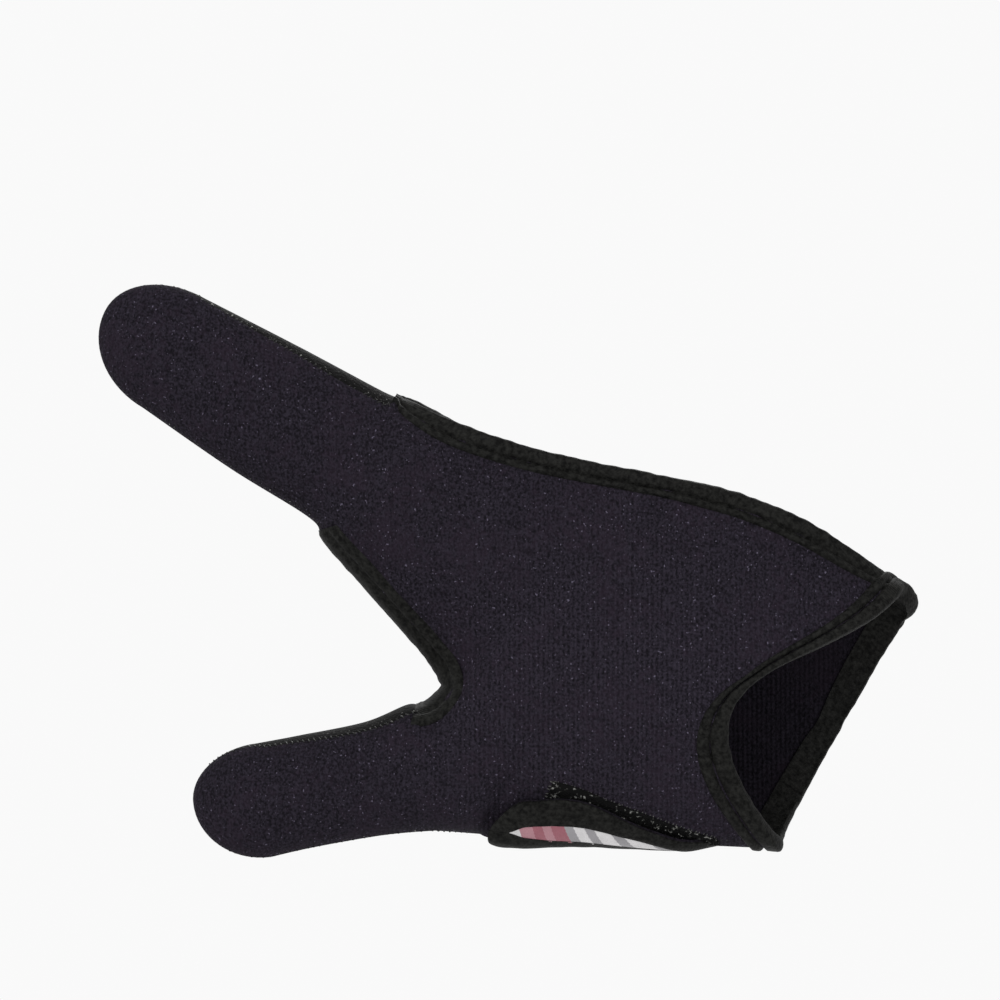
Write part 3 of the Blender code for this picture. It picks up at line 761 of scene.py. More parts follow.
class GloveSettings(bpy.types.PropertyGroup):
    """Sizes and colours of the glove's cloth, tape, thread and label."""

    cloth_colour: colour_setting("Cloth", "Heather jersey of the back panel", "#1e1b22")
    fleck_colour: colour_setting("Flecks", "Pale fibres in the heather", "#4b4754")
    palm_colour: colour_setting("Palm cloth", "Grained cloth of the palm panel", "#0a0a0a")
    tape_colour: colour_setting("Tape", "Binding tape", "#10100f")
    thread_colour: colour_setting("Thread", "Sewing thread", "#141413")
    # The colour of the painted glints: highlights painted on thread ends, grains and pile loops
    painted_glint_colour: colour_setting("Glints", "Shining ends of thread and grain", "#a5a5a1")
    label_pale: colour_setting("Label, pale", "Ground of the label", "#b4b2b3")
    label_grey: colour_setting("Label, grey", "Shaded bars of the label", "#7a787b")
    label_rose: colour_setting("Label, rose", "Pale red stripes of the label", "#8f646c")
    label_red: colour_setting("Label, red", "Red block of the label", "#7c434e")
    rib_spacing: length_setting(
        "Rib spacing", "From one rib of the knit to the next", 0.0011, 0.0005, 0.004)
    tape_thickness: length_setting(
        "Tape thickness", "Height of a bound edge's tape over the cloth", 0.0008, 0.0003, 0.002)
    knuckle_tape_width: length_setting(
        "Knuckle tape width", "Reach of the tape at the knuckles from the edge", 0.0050, 0.002, 0.01)
    wrist_tape_width: length_setting(
        "Wrist tape width", "Reach of the tape at the wrist from the edge", 0.0064, 0.002, 0.012)
    web_tape_width: length_setting(
        "Web tape width", "Reach of the tape between thumb and index finger", 0.0058, 0.002, 0.01)
    stitch_spacing: length_setting(
        "Stitch spacing", "From one seam stitch to the next", 0.0013, 0.0006, 0.004)
    thread_thickness: length_setting(
        "Thread thickness", "Thickness of the sewing thread", 0.00034, 0.0001, 0.001)


MATERIALS = {}


def materials_of(settings):
    """The glove's materials, made once and shared between the pieces."""
    if not MATERIALS:
        cloth, palm = tuple(settings.cloth_colour), tuple(settings.palm_colour)
        thread, painted_glint = tuple(settings.thread_colour), tuple(settings.painted_glint_colour)
        lining = tuple(c * 0.6 for c in cloth)
        black = tuple(c * 0.6 for c in thread)
        grey = tuple(c * 6 for c in thread)
        ribs = settings.rib_spacing
        # Painted glints: toned down on the palm and the pile, and for each dark thread a lighter shade of
        # its own colour
        MATERIALS.update(
            knit=knit_material("heather_jersey_on_foam", ribs, cloth, tuple(settings.fleck_colour)),
            lining=knit_material("plain_jersey_lining", ribs, lining, lining),
            palm=palm_material("grained_grip_cloth", palm, tuple(c * 0.35 for c in painted_glint)),
            tape=tape_material("stretch_binding_tape", tuple(settings.tape_colour)),
            thread=thread_material("spun_polyester_thread", thread, painted_glint),
            black_thread=thread_material("black_polyester_thread", black, tuple(c * 3 for c in black)),
            grey_thread=thread_material("grey_polyester_thread", grey, tuple(c * 2 for c in grey)),
            pile=pile_material(
                "nylon_loop_pile", tuple(c * 0.7 for c in palm), tuple(c * 0.5 for c in painted_glint)),
            hook=hook_material("moulded_nylon_hooks", palm),
        )
        for key in LABEL_COLOURS:
            yarn = tuple(getattr(settings, f"label_{key}"))
            MATERIALS[key] = label_material(f"woven_label_{key}", yarn)
    return MATERIALS


# Panels

BODY_ROWS = 72
BASE_COLUMNS = 48
CUT_EDGE_RADIUS = 0.00045

# The thumb's base is blended into the hand in levels: how far up the thumb each one reaches, how
# far past the base's corners, and from which share across the hand
BlendLevel = namedtuple("BlendLevel", "reach beyond share")
BLEND_LEVELS = [BlendLevel(1.5, 0.9, 0.45), BlendLevel(1.1, 0.55, 0.6), BlendLevel(0.8, 0.25, 0.72)]
BLEND_PASSES = 22


def body_stations():
    """Fractional rows of the hand's wall, with a whole number of columns along the thumb's base."""
    stations = []
    for start, end, count in (
        (-1, 0, 18), (0, WEB_ROW, 110), (WEB_ROW, LOWER_ROW, BASE_COLUMNS), (LOWER_ROW, WRIST_ROW, 60),
    ):
        stations += [start + (end - start) * i / count for i in range(count)]
    return stations + [WRIST_ROW]


def thumb_stations():
    stations = [LAST_THUMB_ROW * i / 84 for i in range(84)]
    return stations + [LAST_THUMB_ROW + i / 16 for i in range(17)]


def seam_turn(surface, at):
    """Where the seam at a stall's upper edge stands, as a share of the half turn on the back."""
    return straight_value(THUMB_SEAM if surface is thumb_point else INDEX_SEAM, at)


def blend_level(surface, at, share):
    """The highest level of blending that reaches a place of the wall, or none."""
    reached = 0
    for number, level in enumerate(BLEND_LEVELS, 1):
        if surface is thumb_point:
            near = at < level.reach and 0.02 < share < 0.98
        else:
            stop = 1.1 if WEB_ROW - 0.02 < at < LOWER_ROW + 0.02 else 0.96
            near = WEB_ROW - level.beyond < at < LOWER_ROW + level.beyond and level.share < share < stop
        if near:
            reached = number
    return reached


def make_panel(name, palm, outside, inside):
    """A panel in one piece: skin, wall thickness inwards, and rounded cut edges at the seams."""
    bm = bmesh.new()
    blend = bm.verts.layers.int.new("blend")
    for stations, rows, surface in (
        (body_stations(), BODY_ROWS, body_point),
        (thumb_stations(), BASE_COLUMNS, thumb_point),
    ):
        last = len(stations) - 1
        for vert in bmesh.ops.create_grid(bm, x_segments=last, y_segments=rows, size=0.5)["verts"]:
            at, share = stations[round((vert.co.x + 0.5) * last)], vert.co.y + 0.5
            start = seam_turn(surface, at) * (-1 if palm else 1)
            vert[blend] = blend_level(surface, at, share)
            vert.co = surface(at, start + (1 - start) * share, palm)
    bmesh.ops.remove_doubles(bm, verts=bm.verts, dist=2e-6)
    for level in range(1, len(BLEND_LEVELS) + 1):
        fold = [vert for vert in bm.verts if vert[blend] >= level and not vert.is_boundary]
        for _ in range(BLEND_PASSES):
            bmesh.ops.smooth_vert(
                bm, verts=fold, factor=0.5, use_axis_x=True, use_axis_y=True, use_axis_z=True,
            )
    bmesh.ops.recalc_face_normals(bm, faces=bm.faces)
    middle = bm.faces[len(bm.faces) // 3]
    if (middle.normal.y > 0) != palm:
        bmesh.ops.reverse_faces(bm, faces=bm.faces)
    panel = finish_piece(f"{name}_cloth", bm, [outside, inside], node=name)
    wall = panel.modifiers.new("wall", "SOLIDIFY")
    wall.thickness = WALL
    wall.offset = -1
    wall.material_offset = 1
    soften_edges(panel, CUT_EDGE_RADIUS)


class GLOVE_OT_panels(bpy.types.Operator):
    """Make the back panel and the palm panel"""

    bl_idname = "glove.panels"
    bl_label = "Panels"

    def execute(self, context):
        look = materials_of(context.scene.glove_settings)
        make_panel("back_panel", False, look["knit"], look["lining"])
        make_panel("palm_panel", True, look["palm"], look["lining"])
        return {"FINISHED"}


# Skins to lay things on, and strips laid on them

SKIN_TREES = {}


def skin_tree():
    """Both panels' outer skins as one tree for ray casts, made once."""
    if "both" not in SKIN_TREES:
        verts, faces = [], []
        for name in ("back_panel_cloth", "palm_panel_cloth"):
            mesh = bpy.data.objects[name].data
            first = len(verts)
            verts += [vert.co.copy() for vert in mesh.vertices]
            faces += [[first + i for i in face.vertices] for face in mesh.polygons]
        SKIN_TREES["both"] = BVHTree.FromPolygons(verts, faces)
    return SKIN_TREES["both"]


def resample(line, distances, depth=1.0):
    """Points at given distances along a line of points; depth is how much going deeper counts."""
    steps = [
        Vector((b.x - a.x, (b.y - a.y) * depth, b.z - a.z)).length for a, b in zip(line, line[1:])
    ]
    points, gone, i = [], 0.0, 0
    for wanted in distances:
        while i < len(line) - 2 and gone + steps[i] < wanted:
            gone += steps[i]
            i += 1
        points.append(line[i].lerp(line[i + 1], (wanted - gone) / max(steps[i], 1e-9)))
    return points


def even_rows(points, count):
    """The same strip with its rows at equal distances."""
    runs = run_lengths(points)
    even, i = [], 0
    for k in range(count + 1):
        wanted = runs[-1] * k / count
        while i < len(runs) - 2 and runs[i + 1] < wanted:
            i += 1
        t = (wanted - runs[i]) / max(runs[i + 1] - runs[i], 1e-9)
        even.append([a.lerp(b, t) for a, b in zip(points[i], points[i + 1])])
    return even


def strip_normals(points, side, closed=False):
    """The outward normals of a grid of points, from the differences between its neighbours."""
    count, across = len(points), len(points[0])
    normals = []
    for i in range(count):
        before = points[(i - 1) % count] if closed else points[max(i - 1, 0)]
        after = points[(i + 1) % count] if closed else points[min(i + 1, count - 1)]
        row = []
        for j in range(across):
            over = points[i][min(j + 1, across - 1)] - points[i][max(j - 1, 0)]
            row.append((after[j] - before[j]).cross(over).normalized() * side)
        normals.append(row)
    return normals


def run_lengths(points, column=0):
    """How far along the strip each of its rows lies."""
    gone, lengths = 0.0, [0.0]
    for before, after in zip(points, points[1:]):
        gone += (after[column] - before[column]).length
        lengths.append(gone)
    return lengths


def blurred_rows(points, passes, weight=0.5):
    """Rounds a strip's corners: each row moves towards the middle of its neighbours."""
    for _ in range(passes):
        points = [points[0]] + [
            [here.lerp((before + after) / 2, weight) for before, here, after in zip(*three)]
            for three in zip(points, points[1:], points[2:])
        ] + [points[-1]]
    return points


# A sewn tape's relief: its crease at the stitches, the pitch of its puckers, and its flat hem
CREASE_WIDTH = 0.00042
PUCKER_PITCH = 0.0024
HEM_WIDTH = 0.0007
HEM_SINK = 0.00015
TAPE_PUCKER = 0.00022
FOLD_TURNS = 7
EDGE_PUCKER = 0.00025


def tape_height(share, width, thickness, crease):
    """The height of a sewn tape over the cloth, from its folded edge at 0 to its hem at 1."""
    if share < crease:
        swell = math.cos(math.pi / 2 * (share / crease)) ** 0.5
    else:
        swell = math.sin(math.pi * (share - crease) / (1 - crease)) ** 0.5
    dip = math.exp(-(((share - crease) * width / CREASE_WIDTH) ** 2))
    hem = smoothstep(0, HEM_WIDTH, (1 - share) * width)
    return thickness * (0.6 + 0.4 * swell - 0.75 * dip) * hem - HEM_SINK * (1 - hem)


def pucker(along, share, seed, depth):
    """Cloth drawn up by its stitches: little ridges across the tape."""
    fine = noise.noise(Vector((along / PUCKER_PITCH, share * 1.4, seed)))
    broad = noise.noise(Vector((along / (4 * PUCKER_PITCH), share * 2.0, seed + 7)))
    return depth * (fine + 0.8 * broad)


Fold = namedtuple("Fold", "crease reach seed")


def folded_tape(points, side, width, thickness, fold, lift=None, grow=None, closed=False):
    """Rings of a tape folded over a cut edge: over the skin, round the edge and back inside."""
    normals = strip_normals(points, side, closed)
    runs = run_lengths(points)
    across = len(points[0]) - 1
    rings = []
    for i, (row, ups) in enumerate(zip(points, normals)):
        raised = lift[i] if lift else 0.0
        full = grow[i] if grow else 1.0
        outward = (row[0] - row[2]).normalized()
        tops = []
        for j in range(across + 1):
            share = j / across
            high = tape_height(share, width, thickness, fold.crease)
            high += pucker(runs[i], share, fold.seed, TAPE_PUCKER) * smoothstep(0, 0.25, 1 - share)
            tops.append(high + raised * smoothstep(0, 0.2, 1 - share))
        ring = [point + up * high for point, up, high in zip(row, ups, tops)][::-1]
        middle = row[0] - ups[0] * (WALL / 2)
        bulge = (fold.reach + raised) * full + pucker(runs[i], 0, fold.seed + 3, EDGE_PUCKER)
        half = WALL / 2 + tops[0]
        for step in range(1, FOLD_TURNS + 1):
            turn = math.pi * (0.5 - step / (FOLD_TURNS + 1))
            round_edge = outward * (bulge * math.cos(turn) ** 0.8) + ups[0] * (half * math.sin(turn))
            ring.append(middle + round_edge)
        under = WALL + thickness * 0.6 * full
        ring += [point - up * under for point, up in list(zip(row, ups))[1::3]]
        rings.append(ring)
    return rings


def knuckle_points(palm, width):
    """A panel's skin beside its upper edge, from the index stall's root to the wrist."""
    steps = 200
    start, end = SLIT_ROW, WRIST_ROW - 0.16
    shares = [0.42 * (i / 28) ** 1.4 for i in range(29)]
    distances = [width * j / 14 for j in range(15)]
    rows = []
    for i in range(steps + 1):
        at = start + (end - start) * i / steps
        rows.append(resample([body_point(at, share, palm) for share in shares], distances))
    return rows


MOUTH_STEPS = 130
BRIDGE_STEPS = 12
BRIDGE_BULGE = 0.0010


def mouth_points(width):
    """The skin beside the wrist's edge: up the back, round the ulnar tip and down the palm."""
    distances = [width * j / 16 for j in range(17)]
    rows = []
    for palm in (False, True):
        shares = [i / MOUTH_STEPS for i in range(MOUTH_STEPS + 1)]
        for share in shares if palm else reversed(shares):
            line = [body_point(WRIST_ROW - 0.035 * k, share, palm) for k in range(22)]
            rows.append(resample(line, distances))
    half = MOUTH_STEPS + 1
    turned = []
    for i in range(1, BRIDGE_STEPS):
        t = i / BRIDGE_STEPS
        bulge = HAND.across * (BRIDGE_BULGE * math.sin(math.pi * t))
        turned.append([a.lerp(b, t) + bulge for a, b in zip(rows[half - 1], rows[half])])
    return rows[:half] + turned + rows[half:] + [rows[0]]


KNUCKLE_TAPE_ROWS = 260
KNUCKLE_FOLDS = {False: Fold(0.55, 0.0011, 10), True: Fold(0.55, 0.0011, 12)}
KNUCKLE_TAPE_END = 0.006
WRIST_TAPE_ROWS = 300
WRIST_FOLD = Fold(0.5, 0.0012, 31)
# Round the ulnar tip the wrist's tape is thicker, where its two ends are folded in
ULNAR_LIFT = 0.0005
ULNAR_REACH = (0.009, 0.013)


class GLOVE_OT_tapes(bpy.types.Operator):
    """Bind the open edges at the knuckles and round the wrist"""

    bl_idname = "glove.tapes"
    bl_label = "Edge tapes"

    def execute(self, context):
        settings = context.scene.glove_settings
        look = materials_of(settings)
        thickness = settings.tape_thickness
        width = settings.knuckle_tape_width
        for palm, node in ((False, "knuckle_tape"), (True, "palm_knuckle_tape")):
            points = even_rows(knuckle_points(palm, width), KNUCKLE_TAPE_ROWS)
            grow = [smoothstep(0, KNUCKLE_TAPE_END, gone) for gone in run_lengths(points)]
            side = 1 if palm else -1
            bm = bmesh.new()
            add_loft(bm, folded_tape(points, side, width, thickness, KNUCKLE_FOLDS[palm], grow=grow))
            finish_piece(f"{node}_sewn", bm, [look["tape"]], node=node)

        width = settings.wrist_tape_width
        points = mouth_points(width)
        tip = points[MOUTH_STEPS + BRIDGE_STEPS // 2][0].copy()
        points = blurred_rows(even_rows(points, WRIST_TAPE_ROWS), 14)[:-1]
        lift = [ULNAR_LIFT * (1 - smoothstep(*ULNAR_REACH, (row[0] - tip).length)) for row in points]
        bm = bmesh.new()
        rings = folded_tape(points, 1, width, thickness, WRIST_FOLD, lift=lift, closed=True)
        add_loft(bm, rings, closed=True)
        finish_piece("wrist_tape_sewn", bm, [look["tape"]], node="wrist_tape")
        return {"FINISHED"}


# The web tape, wrapped over the seam between the index stall and the thumb

WEB_TAPE_START = 2.62
WEB_TAPE_END = 1.62
WEB_STEPS = 110
THUMB_STEPS = 46
FAN_STEPS = 26
WEB_CREASE = 0.52
WEB_TAPE_SINK = 0.0003
# Rays are cast at the skin from a hub inside the cloth, which stands this far in from the seam
HUB_REACH = 0.0085
RAY_TURN = math.radians(4.6)
RAYS = 25
# How much the skin's depth counts in the tape's width on the back, so that it shows its full width
BACK_DEPTH_SHARE = 0.3
CROTCH_REACH = 0.007


def seam_stations():
    """Points of the seam between index stall and thumb, each with the way in towards the cloth."""
    body = [
        WEB_TAPE_START + (WEB_ROW - 0.05 - WEB_TAPE_START) * i / WEB_STEPS for i in range(WEB_STEPS + 1)
    ]
    thumb = [0.12 + (WEB_TAPE_END - 0.12) * i / THUMB_STEPS for i in range(THUMB_STEPS + 1)]
    stations = []
    for surface, places, edge in ((body_point, body, 1), (thumb_point, thumb, 0)):
        line = []
        for at in places:
            here = surface(at, edge, False)
            ahead = surface(at + 0.01, edge, False) - surface(at - 0.01, edge, False)
            way = Vector((-ahead.z, 0, ahead.x)).normalized()
            line.append((Vector((here.x, 0, here.z)), way))
        stations.append(line)
    body_line, thumb_line = stations
    corner = Vector((WEB_CORNER.x, 0, WEB_CORNER.z))
    first, last = body_line[-1][1], thumb_line[0][1]
    turn = first.angle(last)
    fan = []
    for i in range(1, FAN_STEPS):
        t = i / FAN_STEPS
        way = (first * math.sin((1 - t) * turn) + last * math.sin(t * turn)) / math.sin(turn)
        fan.append((corner, way.normalized()))
    return body_line + fan + thumb_line


def wrap_row(tree, edge, way, width, count):
    """Points at equal distances round an edge, from the palm side over the seam to the back."""
    hub = edge + way * HUB_REACH
    sides = []
    for out, depth in ((-OUT_OF_BACK, 1), (OUT_OF_BACK, BACK_DEPTH_SHARE)):
        line = [edge]
        for ray in range(1, RAYS + 1):
            heading = way * -math.cos(RAY_TURN * ray) + out * math.sin(RAY_TURN * ray)
            hit = tree.ray_cast(hub, heading, 0.03)[0]
            if hit and (hit - line[-1]).length < 0.008:
                line.append(hit)
        sides.append(resample(line, [width * j / count for j in range(count + 1)], depth))
    palm_side, back_side = sides
    return palm_side[:0:-1] + back_side


class GLOVE_OT_web_tape(bpy.types.Operator):
    """Sew the tape over the seam between the index stall and the thumb"""

    bl_idname = "glove.web_tape"
    bl_label = "Web tape"

    def execute(self, context):
        settings = context.scene.glove_settings
        look = materials_of(settings)
        tree = skin_tree()
        width, thickness, count = settings.web_tape_width, settings.tape_thickness, 11
        points = [wrap_row(tree, edge, way, width, count) for edge, way in seam_stations()]
        points = blurred_rows(points, 120)
        normals = strip_normals(points, 1)
        runs = run_lengths(points, count)
        corner = runs[WEB_STEPS + 1 + FAN_STEPS // 2]
        rings = []
        for run, row, ups in zip(runs, points, normals):
            tops, unders = [], []
            crotch = math.exp(-(((run - corner) / CROTCH_REACH) ** 2))
            ends = smoothstep(0, 0.0012, min(run, runs[-1] - run))
            for j, (point, up) in enumerate(zip(row, ups)):
                share = abs(j - count) / count
                high = tape_height(share, width, thickness, WEB_CREASE) * (0.35 + 0.65 * ends)
                high += pucker(run, share, 51, 0.0002 + 0.0005 * crotch) * smoothstep(0, 0.3, 1 - share)
                tops.append(point + up * high)
                unders.append(point - up * WEB_TAPE_SINK)
            rings.append(tops + unders[::-1])
        bm = bmesh.new()
        add_loft(bm, rings)
        finish_piece("web_tape_sewn", bm, [look["tape"]], node="web_tape")
        return {"FINISHED"}


# Seams round both stalls

# Each run's surface, first and last row and steps; the share across the wall where it stands, or
# None for the panels' rim; how many of its stitches show a bright end, and their length
SeamRun = namedtuple("SeamRun", "surface start end steps share show length")
SEAM_RUNS = {
    "index, upper edge": SeamRun(body_point, -0.55, SLIT_ROW, 300, None, 0.55, 0.0016),
    "thumb, upper edge": SeamRun(thumb_point, 1.55, 5.50, 300, None, 0.55, 0.0016),
    "index, lower edge": SeamRun(body_point, -0.50, 2.60, 300, 0.91, 0.3, 0.0008),
    "thumb, lower edge": SeamRun(thumb_point, 0.3, 5.40, 300, 0.91, 0.3, 0.0008),
    "side": SeamRun(body_point, 9.1, 10.7, 120, 0.91, 0.3, 0.0008),
}


def sew(dark, bright, run, settings, rng):
    """Overedge stitches across a seam: short dark pods, with bright ends here and there."""
    points, ups = [], []
    for i in range(run.steps + 1):
        at = run.start + (run.end - run.start) * i / run.steps
        share = run.share or max(seam_turn(run.surface, at), 0.002)
        points.append(run.surface(at, share, False))
        ups.append(wall_normal(run.surface, at, max(share, 0.004), False))
    size = settings.thread_thickness
    for place, direction, i in walk(points, settings.stitch_spacing):
        up = ups[min(int(i), len(ups) - 1)]
        across = up.cross(direction).normalized()
        lean = rng.uniform(0.9, 1.25)
        heading = direction * math.cos(lean) + across * math.sin(lean)
        centre = place + up * rng.uniform(-0.00016, -0.00004)
        dark.append(stitch(centre, heading, up, rng.uniform(0.85, 1.15) * run.length, size))
        if rng.random() < run.show:
            end = centre + across * rng.uniform(0.0001, 0.0008) + up * rng.uniform(0.00005, 0.00018)
            length = rng.uniform(0.0003, 0.0007)
            bright.append(stitch(end, heading, up, length, size * rng.uniform(0.6, 0.9)))


class GLOVE_OT_seams(bpy.types.Operator):
    """Sew the panels together round both stalls and along the thumb side"""

    bl_idname = "glove.seams"
    bl_label = "Seams"

    def execute(self, context):
        settings = context.scene.glove_settings
        look = materials_of(settings)
        rng = random.Random(3)
        dark, bright = [], []
        for run in SEAM_RUNS.values():
            sew(dark, bright, run, settings, rng)
        finish_stitches("seam_stitches_dark", dark, look["black_thread"])
        # The bright ends are bright by the thread's painted glints
        finish_stitches("seam_stitches_bright", bright, look["thread"])
        return {"FINISHED"}


# The strap, its binding and label, and the patches under it

def strap_row(rows, section):
    """The strap's edges and its window's at a section, with the nose rounded."""
    values = smooth_row([list(row) for row in rows], row_at(rows, section))
    section, start, low, high, stop = values
    nose = (section - rows[0].section) / STRAP_NOSE_SECTIONS
    if nose < 1:
        middle = (start + stop) / 2
        full = math.sqrt(max(1 - (1 - max(nose, 0)) ** 2, 0))
        start, stop = middle + (start - middle) * full, middle + (stop - middle) * full
        low, high = middle + (low - middle) * full, middle + (high - middle) * full
    return start, low, high, stop


def strap_height(section, away):
    """How high the strap's underside stands: over both patches on the back, and sewn down flat."""
    raised = PATCH_STACK * smoothstep(STRAP_RISE[0] * STRAP_WIDTH, STRAP_RISE[1] * STRAP_WIDTH, away)
    sewn = smoothstep(*STRAP_SEWN_SECTIONS, section)
    return STRAP_CLEARANCE + raised * (1 - sewn) - STRAP_SINK * sewn


def over_side(section, away, over):
    """A point over the thumb side near the wrist, and the way outwards there."""
    outward = edge_normal(body_point, section, away)
    return around_edge(body_point, section, away) + outward * over, outward


def lay_grid(bm, columns, rows, place):
    """A grid laid over the thumb side, with the way outwards kept at each corner."""
    outward = bm.verts.layers.float_vector.new("outward")
    for vert in bmesh.ops.create_grid(bm, x_segments=columns, y_segments=rows, size=0.5)["verts"]:
        vert.co, vert[outward] = over_side(*place(vert.co.x + 0.5, vert.co.y + 0.5))


def thicken(bm, thickness):
    """Gives a laid grid its thickness, outwards, or inwards where it is negative."""
    outward = bm.verts.layers.float_vector["outward"]
    made = bmesh.ops.extrude_face_region(bm, geom=bm.faces[:], use_keep_orig=True)["geom"]
    for vert in (part for part in made if isinstance(part, bmesh.types.BMVert)):
        vert.co = vert.co + vert[outward] * thickness
    bmesh.ops.recalc_face_normals(bm, faces=bm.faces)


STRAP_COLUMNS = 90
# Rows of the strap's grid below, in and above its window
STRAP_BANDS = (7, 5, 7)
BAND_LOW, BAND_HIGH = STRAP_BANDS[0], STRAP_BANDS[0] + STRAP_BANDS[1]
STRAP_ROW_COUNT = sum(STRAP_BANDS)
BINDING_SWELL = 0.0007
BINDING_PUCKER = 0.00016
BINDING_THICKNESS = 0.0009
BINDING_EDGE_RADIUS = 0.00035
LABEL_COLUMNS = 200
LABEL_BARS = 18
LABEL_THICKNESS = 0.0004
# How far the label reaches under the binding, in sections and as a share of the strap's width
LABEL_TUCK = (0.02, 0.03)


def strap_grid():
    """The strap's sections, and the distances round the side of the corners at each of them."""
    first, last = STRAP_ROWS[0].section, STRAP_ROWS[-1].section
    sections = [
        first + (last - first) * (i / STRAP_COLUMNS) ** 1.25 for i in range(STRAP_COLUMNS + 1)
    ]
    distances = []
    for section in sections:
        edges = strap_row(STRAP_ROWS, section)
        row = []
        for steps, low, high in zip(STRAP_BANDS, edges, edges[1:]):
            row += [(low + (high - low) * i / steps) * STRAP_WIDTH for i in range(steps)]
        distances.append(row + [edges[-1] * STRAP_WIDTH])
    return sections, distances


def binding_swell(row):
    """The binding's swell between its outer edge and the window."""
    share = 1
    if row <= BAND_LOW:
        share = row / BAND_LOW
    elif row >= BAND_HIGH:
        share = (STRAP_ROW_COUNT - row) / STRAP_BANDS[2]
    return math.sin(math.pi * (0.18 + 0.64 * share)) ** 0.6


def make_strap_web(look, sections, distances):
    """The cloth band under the binding and the label."""
    def place(u, v):
        column = round(u * STRAP_COLUMNS)
        section, away = sections[column], distances[column][round(v * STRAP_ROW_COUNT)]
        return section, away, strap_height(section, away)

    bm = bmesh.new()
    lay_grid(bm, STRAP_COLUMNS, STRAP_ROW_COUNT, place)
    thicken(bm, WEB_THICKNESS)
    finish_piece("strap_web", bm, [look["lining"]], node="strap")


def make_strap_binding(look, sections, distances):
    """The wide tape that frames the strap, with the label's window cut out."""
    def place(u, v):
        column = round(u * STRAP_COLUMNS)
        section, away = sections[column], distances[column][round(v * STRAP_ROW_COUNT)]
        swell = BINDING_SWELL * binding_swell(round(v * STRAP_ROW_COUNT))
        high = strap_height(section, away) + WEB_THICKNESS + swell
        return section, away, high + pucker(section * 0.02, v, 71, BINDING_PUCKER)

    bm = bmesh.new()
    lay_grid(bm, STRAP_COLUMNS, STRAP_ROW_COUNT, place)
    window = []
    for i, face in enumerate(bm.faces):
        column, row = i % STRAP_COLUMNS, i // STRAP_COLUMNS
        middle = (sections[column] + sections[column + 1]) / 2
        if BAND_LOW <= row < BAND_HIGH and WINDOW_SECTIONS[0] < middle < WINDOW_SECTIONS[1]:
            window.append(face)
    bmesh.ops.delete(bm, geom=window, context="FACES")
    thicken(bm, -BINDING_THICKNESS)
    tape = finish_piece("strap_binding", bm, [look["tape"]], node="strap_tape")
    soften_edges(tape, BINDING_EDGE_RADIUS)


def make_label(look):
    """The woven label in the strap's window: slanted stripes, each of its own yarn."""
    def place(u, v):
        start, end = WINDOW_SECTIONS[0] - LABEL_TUCK[0], WINDOW_SECTIONS[1] + LABEL_TUCK[0]
        section = start + (end - start) * u
        _start, low, high, _stop = strap_row(STRAP_ROWS, section)
        away = (low - LABEL_TUCK[1] + (high - low + 2 * LABEL_TUCK[1]) * v) * STRAP_WIDTH
        over_web = WEB_THICKNESS + 0.0002 + 0.00025 * math.sin(math.pi * (0.15 + 0.7 * v))
        return section, away, strap_height(section, away) + over_web

    bm = bmesh.new()
    lay_grid(bm, LABEL_COLUMNS, LABEL_BARS, place)
    for i, face in enumerate(bm.faces):
        along, across = (i % LABEL_COLUMNS + 0.5) / LABEL_COLUMNS, (i // LABEL_COLUMNS + 0.5) / LABEL_BARS
        share = along + LABEL_LEAN * (across - 0.5)
        colours = [stripe.colour for stripe in LABEL_STRIPES if share >= stripe.start]
        face.material_index = LABEL_COLOURS.index(colours[-1] if colours else LABEL_STRIPES[0].colour)
    thicken(bm, -LABEL_THICKNESS)
    yarns = [look[colour] for colour in LABEL_COLOURS]
    finish_piece("strap_label_woven", bm, yarns, node="strap_label")


class GLOVE_OT_strap(bpy.types.Operator):
    """Make the closing strap with its binding and label"""

    bl_idname = "glove.strap"
    bl_label = "Strap"

    def execute(self, context):
        look = materials_of(context.scene.glove_settings)
        sections, distances = strap_grid()
        make_strap_web(look, sections, distances)
        make_strap_binding(look, sections, distances)
        make_label(look)
        return {"FINISHED"}


PATCH_COLUMNS, PATCH_ROWS = 60, 24
PATCH_GROUND = 0.0006
PATCH_TOP = 0.0004
PILE_LOOPS = 2600
EDGE_STITCH_PITCH = 0.00095
EDGE_STITCH_LENGTH = 0.0019


def patch_place(u, v):
    """A place of the loop patch: section, distance round the side and height."""
    section, start, stop = smooth_row([list(row) for row in LOOP_ROWS], u * (len(LOOP_ROWS) - 1))
    return section, (start + (stop - start) * v) * STRAP_WIDTH, PATCH_TOP


def patch_spots():
    """A function that gives a place on the loop patch and the way out of it."""
    spots = [
        [over_side(*patch_place(i / PATCH_COLUMNS, j / PATCH_ROWS))[0] for j in range(PATCH_ROWS + 1)]
        for i in range(PATCH_COLUMNS + 1)
    ]
    ways = strip_normals(spots, -1)

    def spot(u, v):
        x, y = min(u * PATCH_COLUMNS, PATCH_COLUMNS - TINY), min(v * PATCH_ROWS, PATCH_ROWS - TINY)
        i, j = int(x), int(y)
        near = spots[i][j].lerp(spots[i + 1][j], x - i)
        far = spots[i][j + 1].lerp(spots[i + 1][j + 1], x - i)
        return near.lerp(far, y - j), ways[i][j]

    return spot


def pile_loops(spot, rng):
    """Loops of the pile, lying all ways and rising a little."""
    loops = []
    for _ in range(PILE_LOOPS):
        place, up = spot(rng.random(), 0.9 * rng.random())
        side = Matrix.Rotation(rng.uniform(0, math.tau), 3, up) @ up.orthogonal().normalized()
        heading = (side + up * rng.uniform(0.2, 1.2)).normalized()
        length = rng.uniform(0.0007, 0.0013)
        centre = place + up * rng.uniform(0, 0.0005)
        loops.append(stitch(centre, heading, up, length, rng.uniform(0.0003, 0.0005)))
    return loops


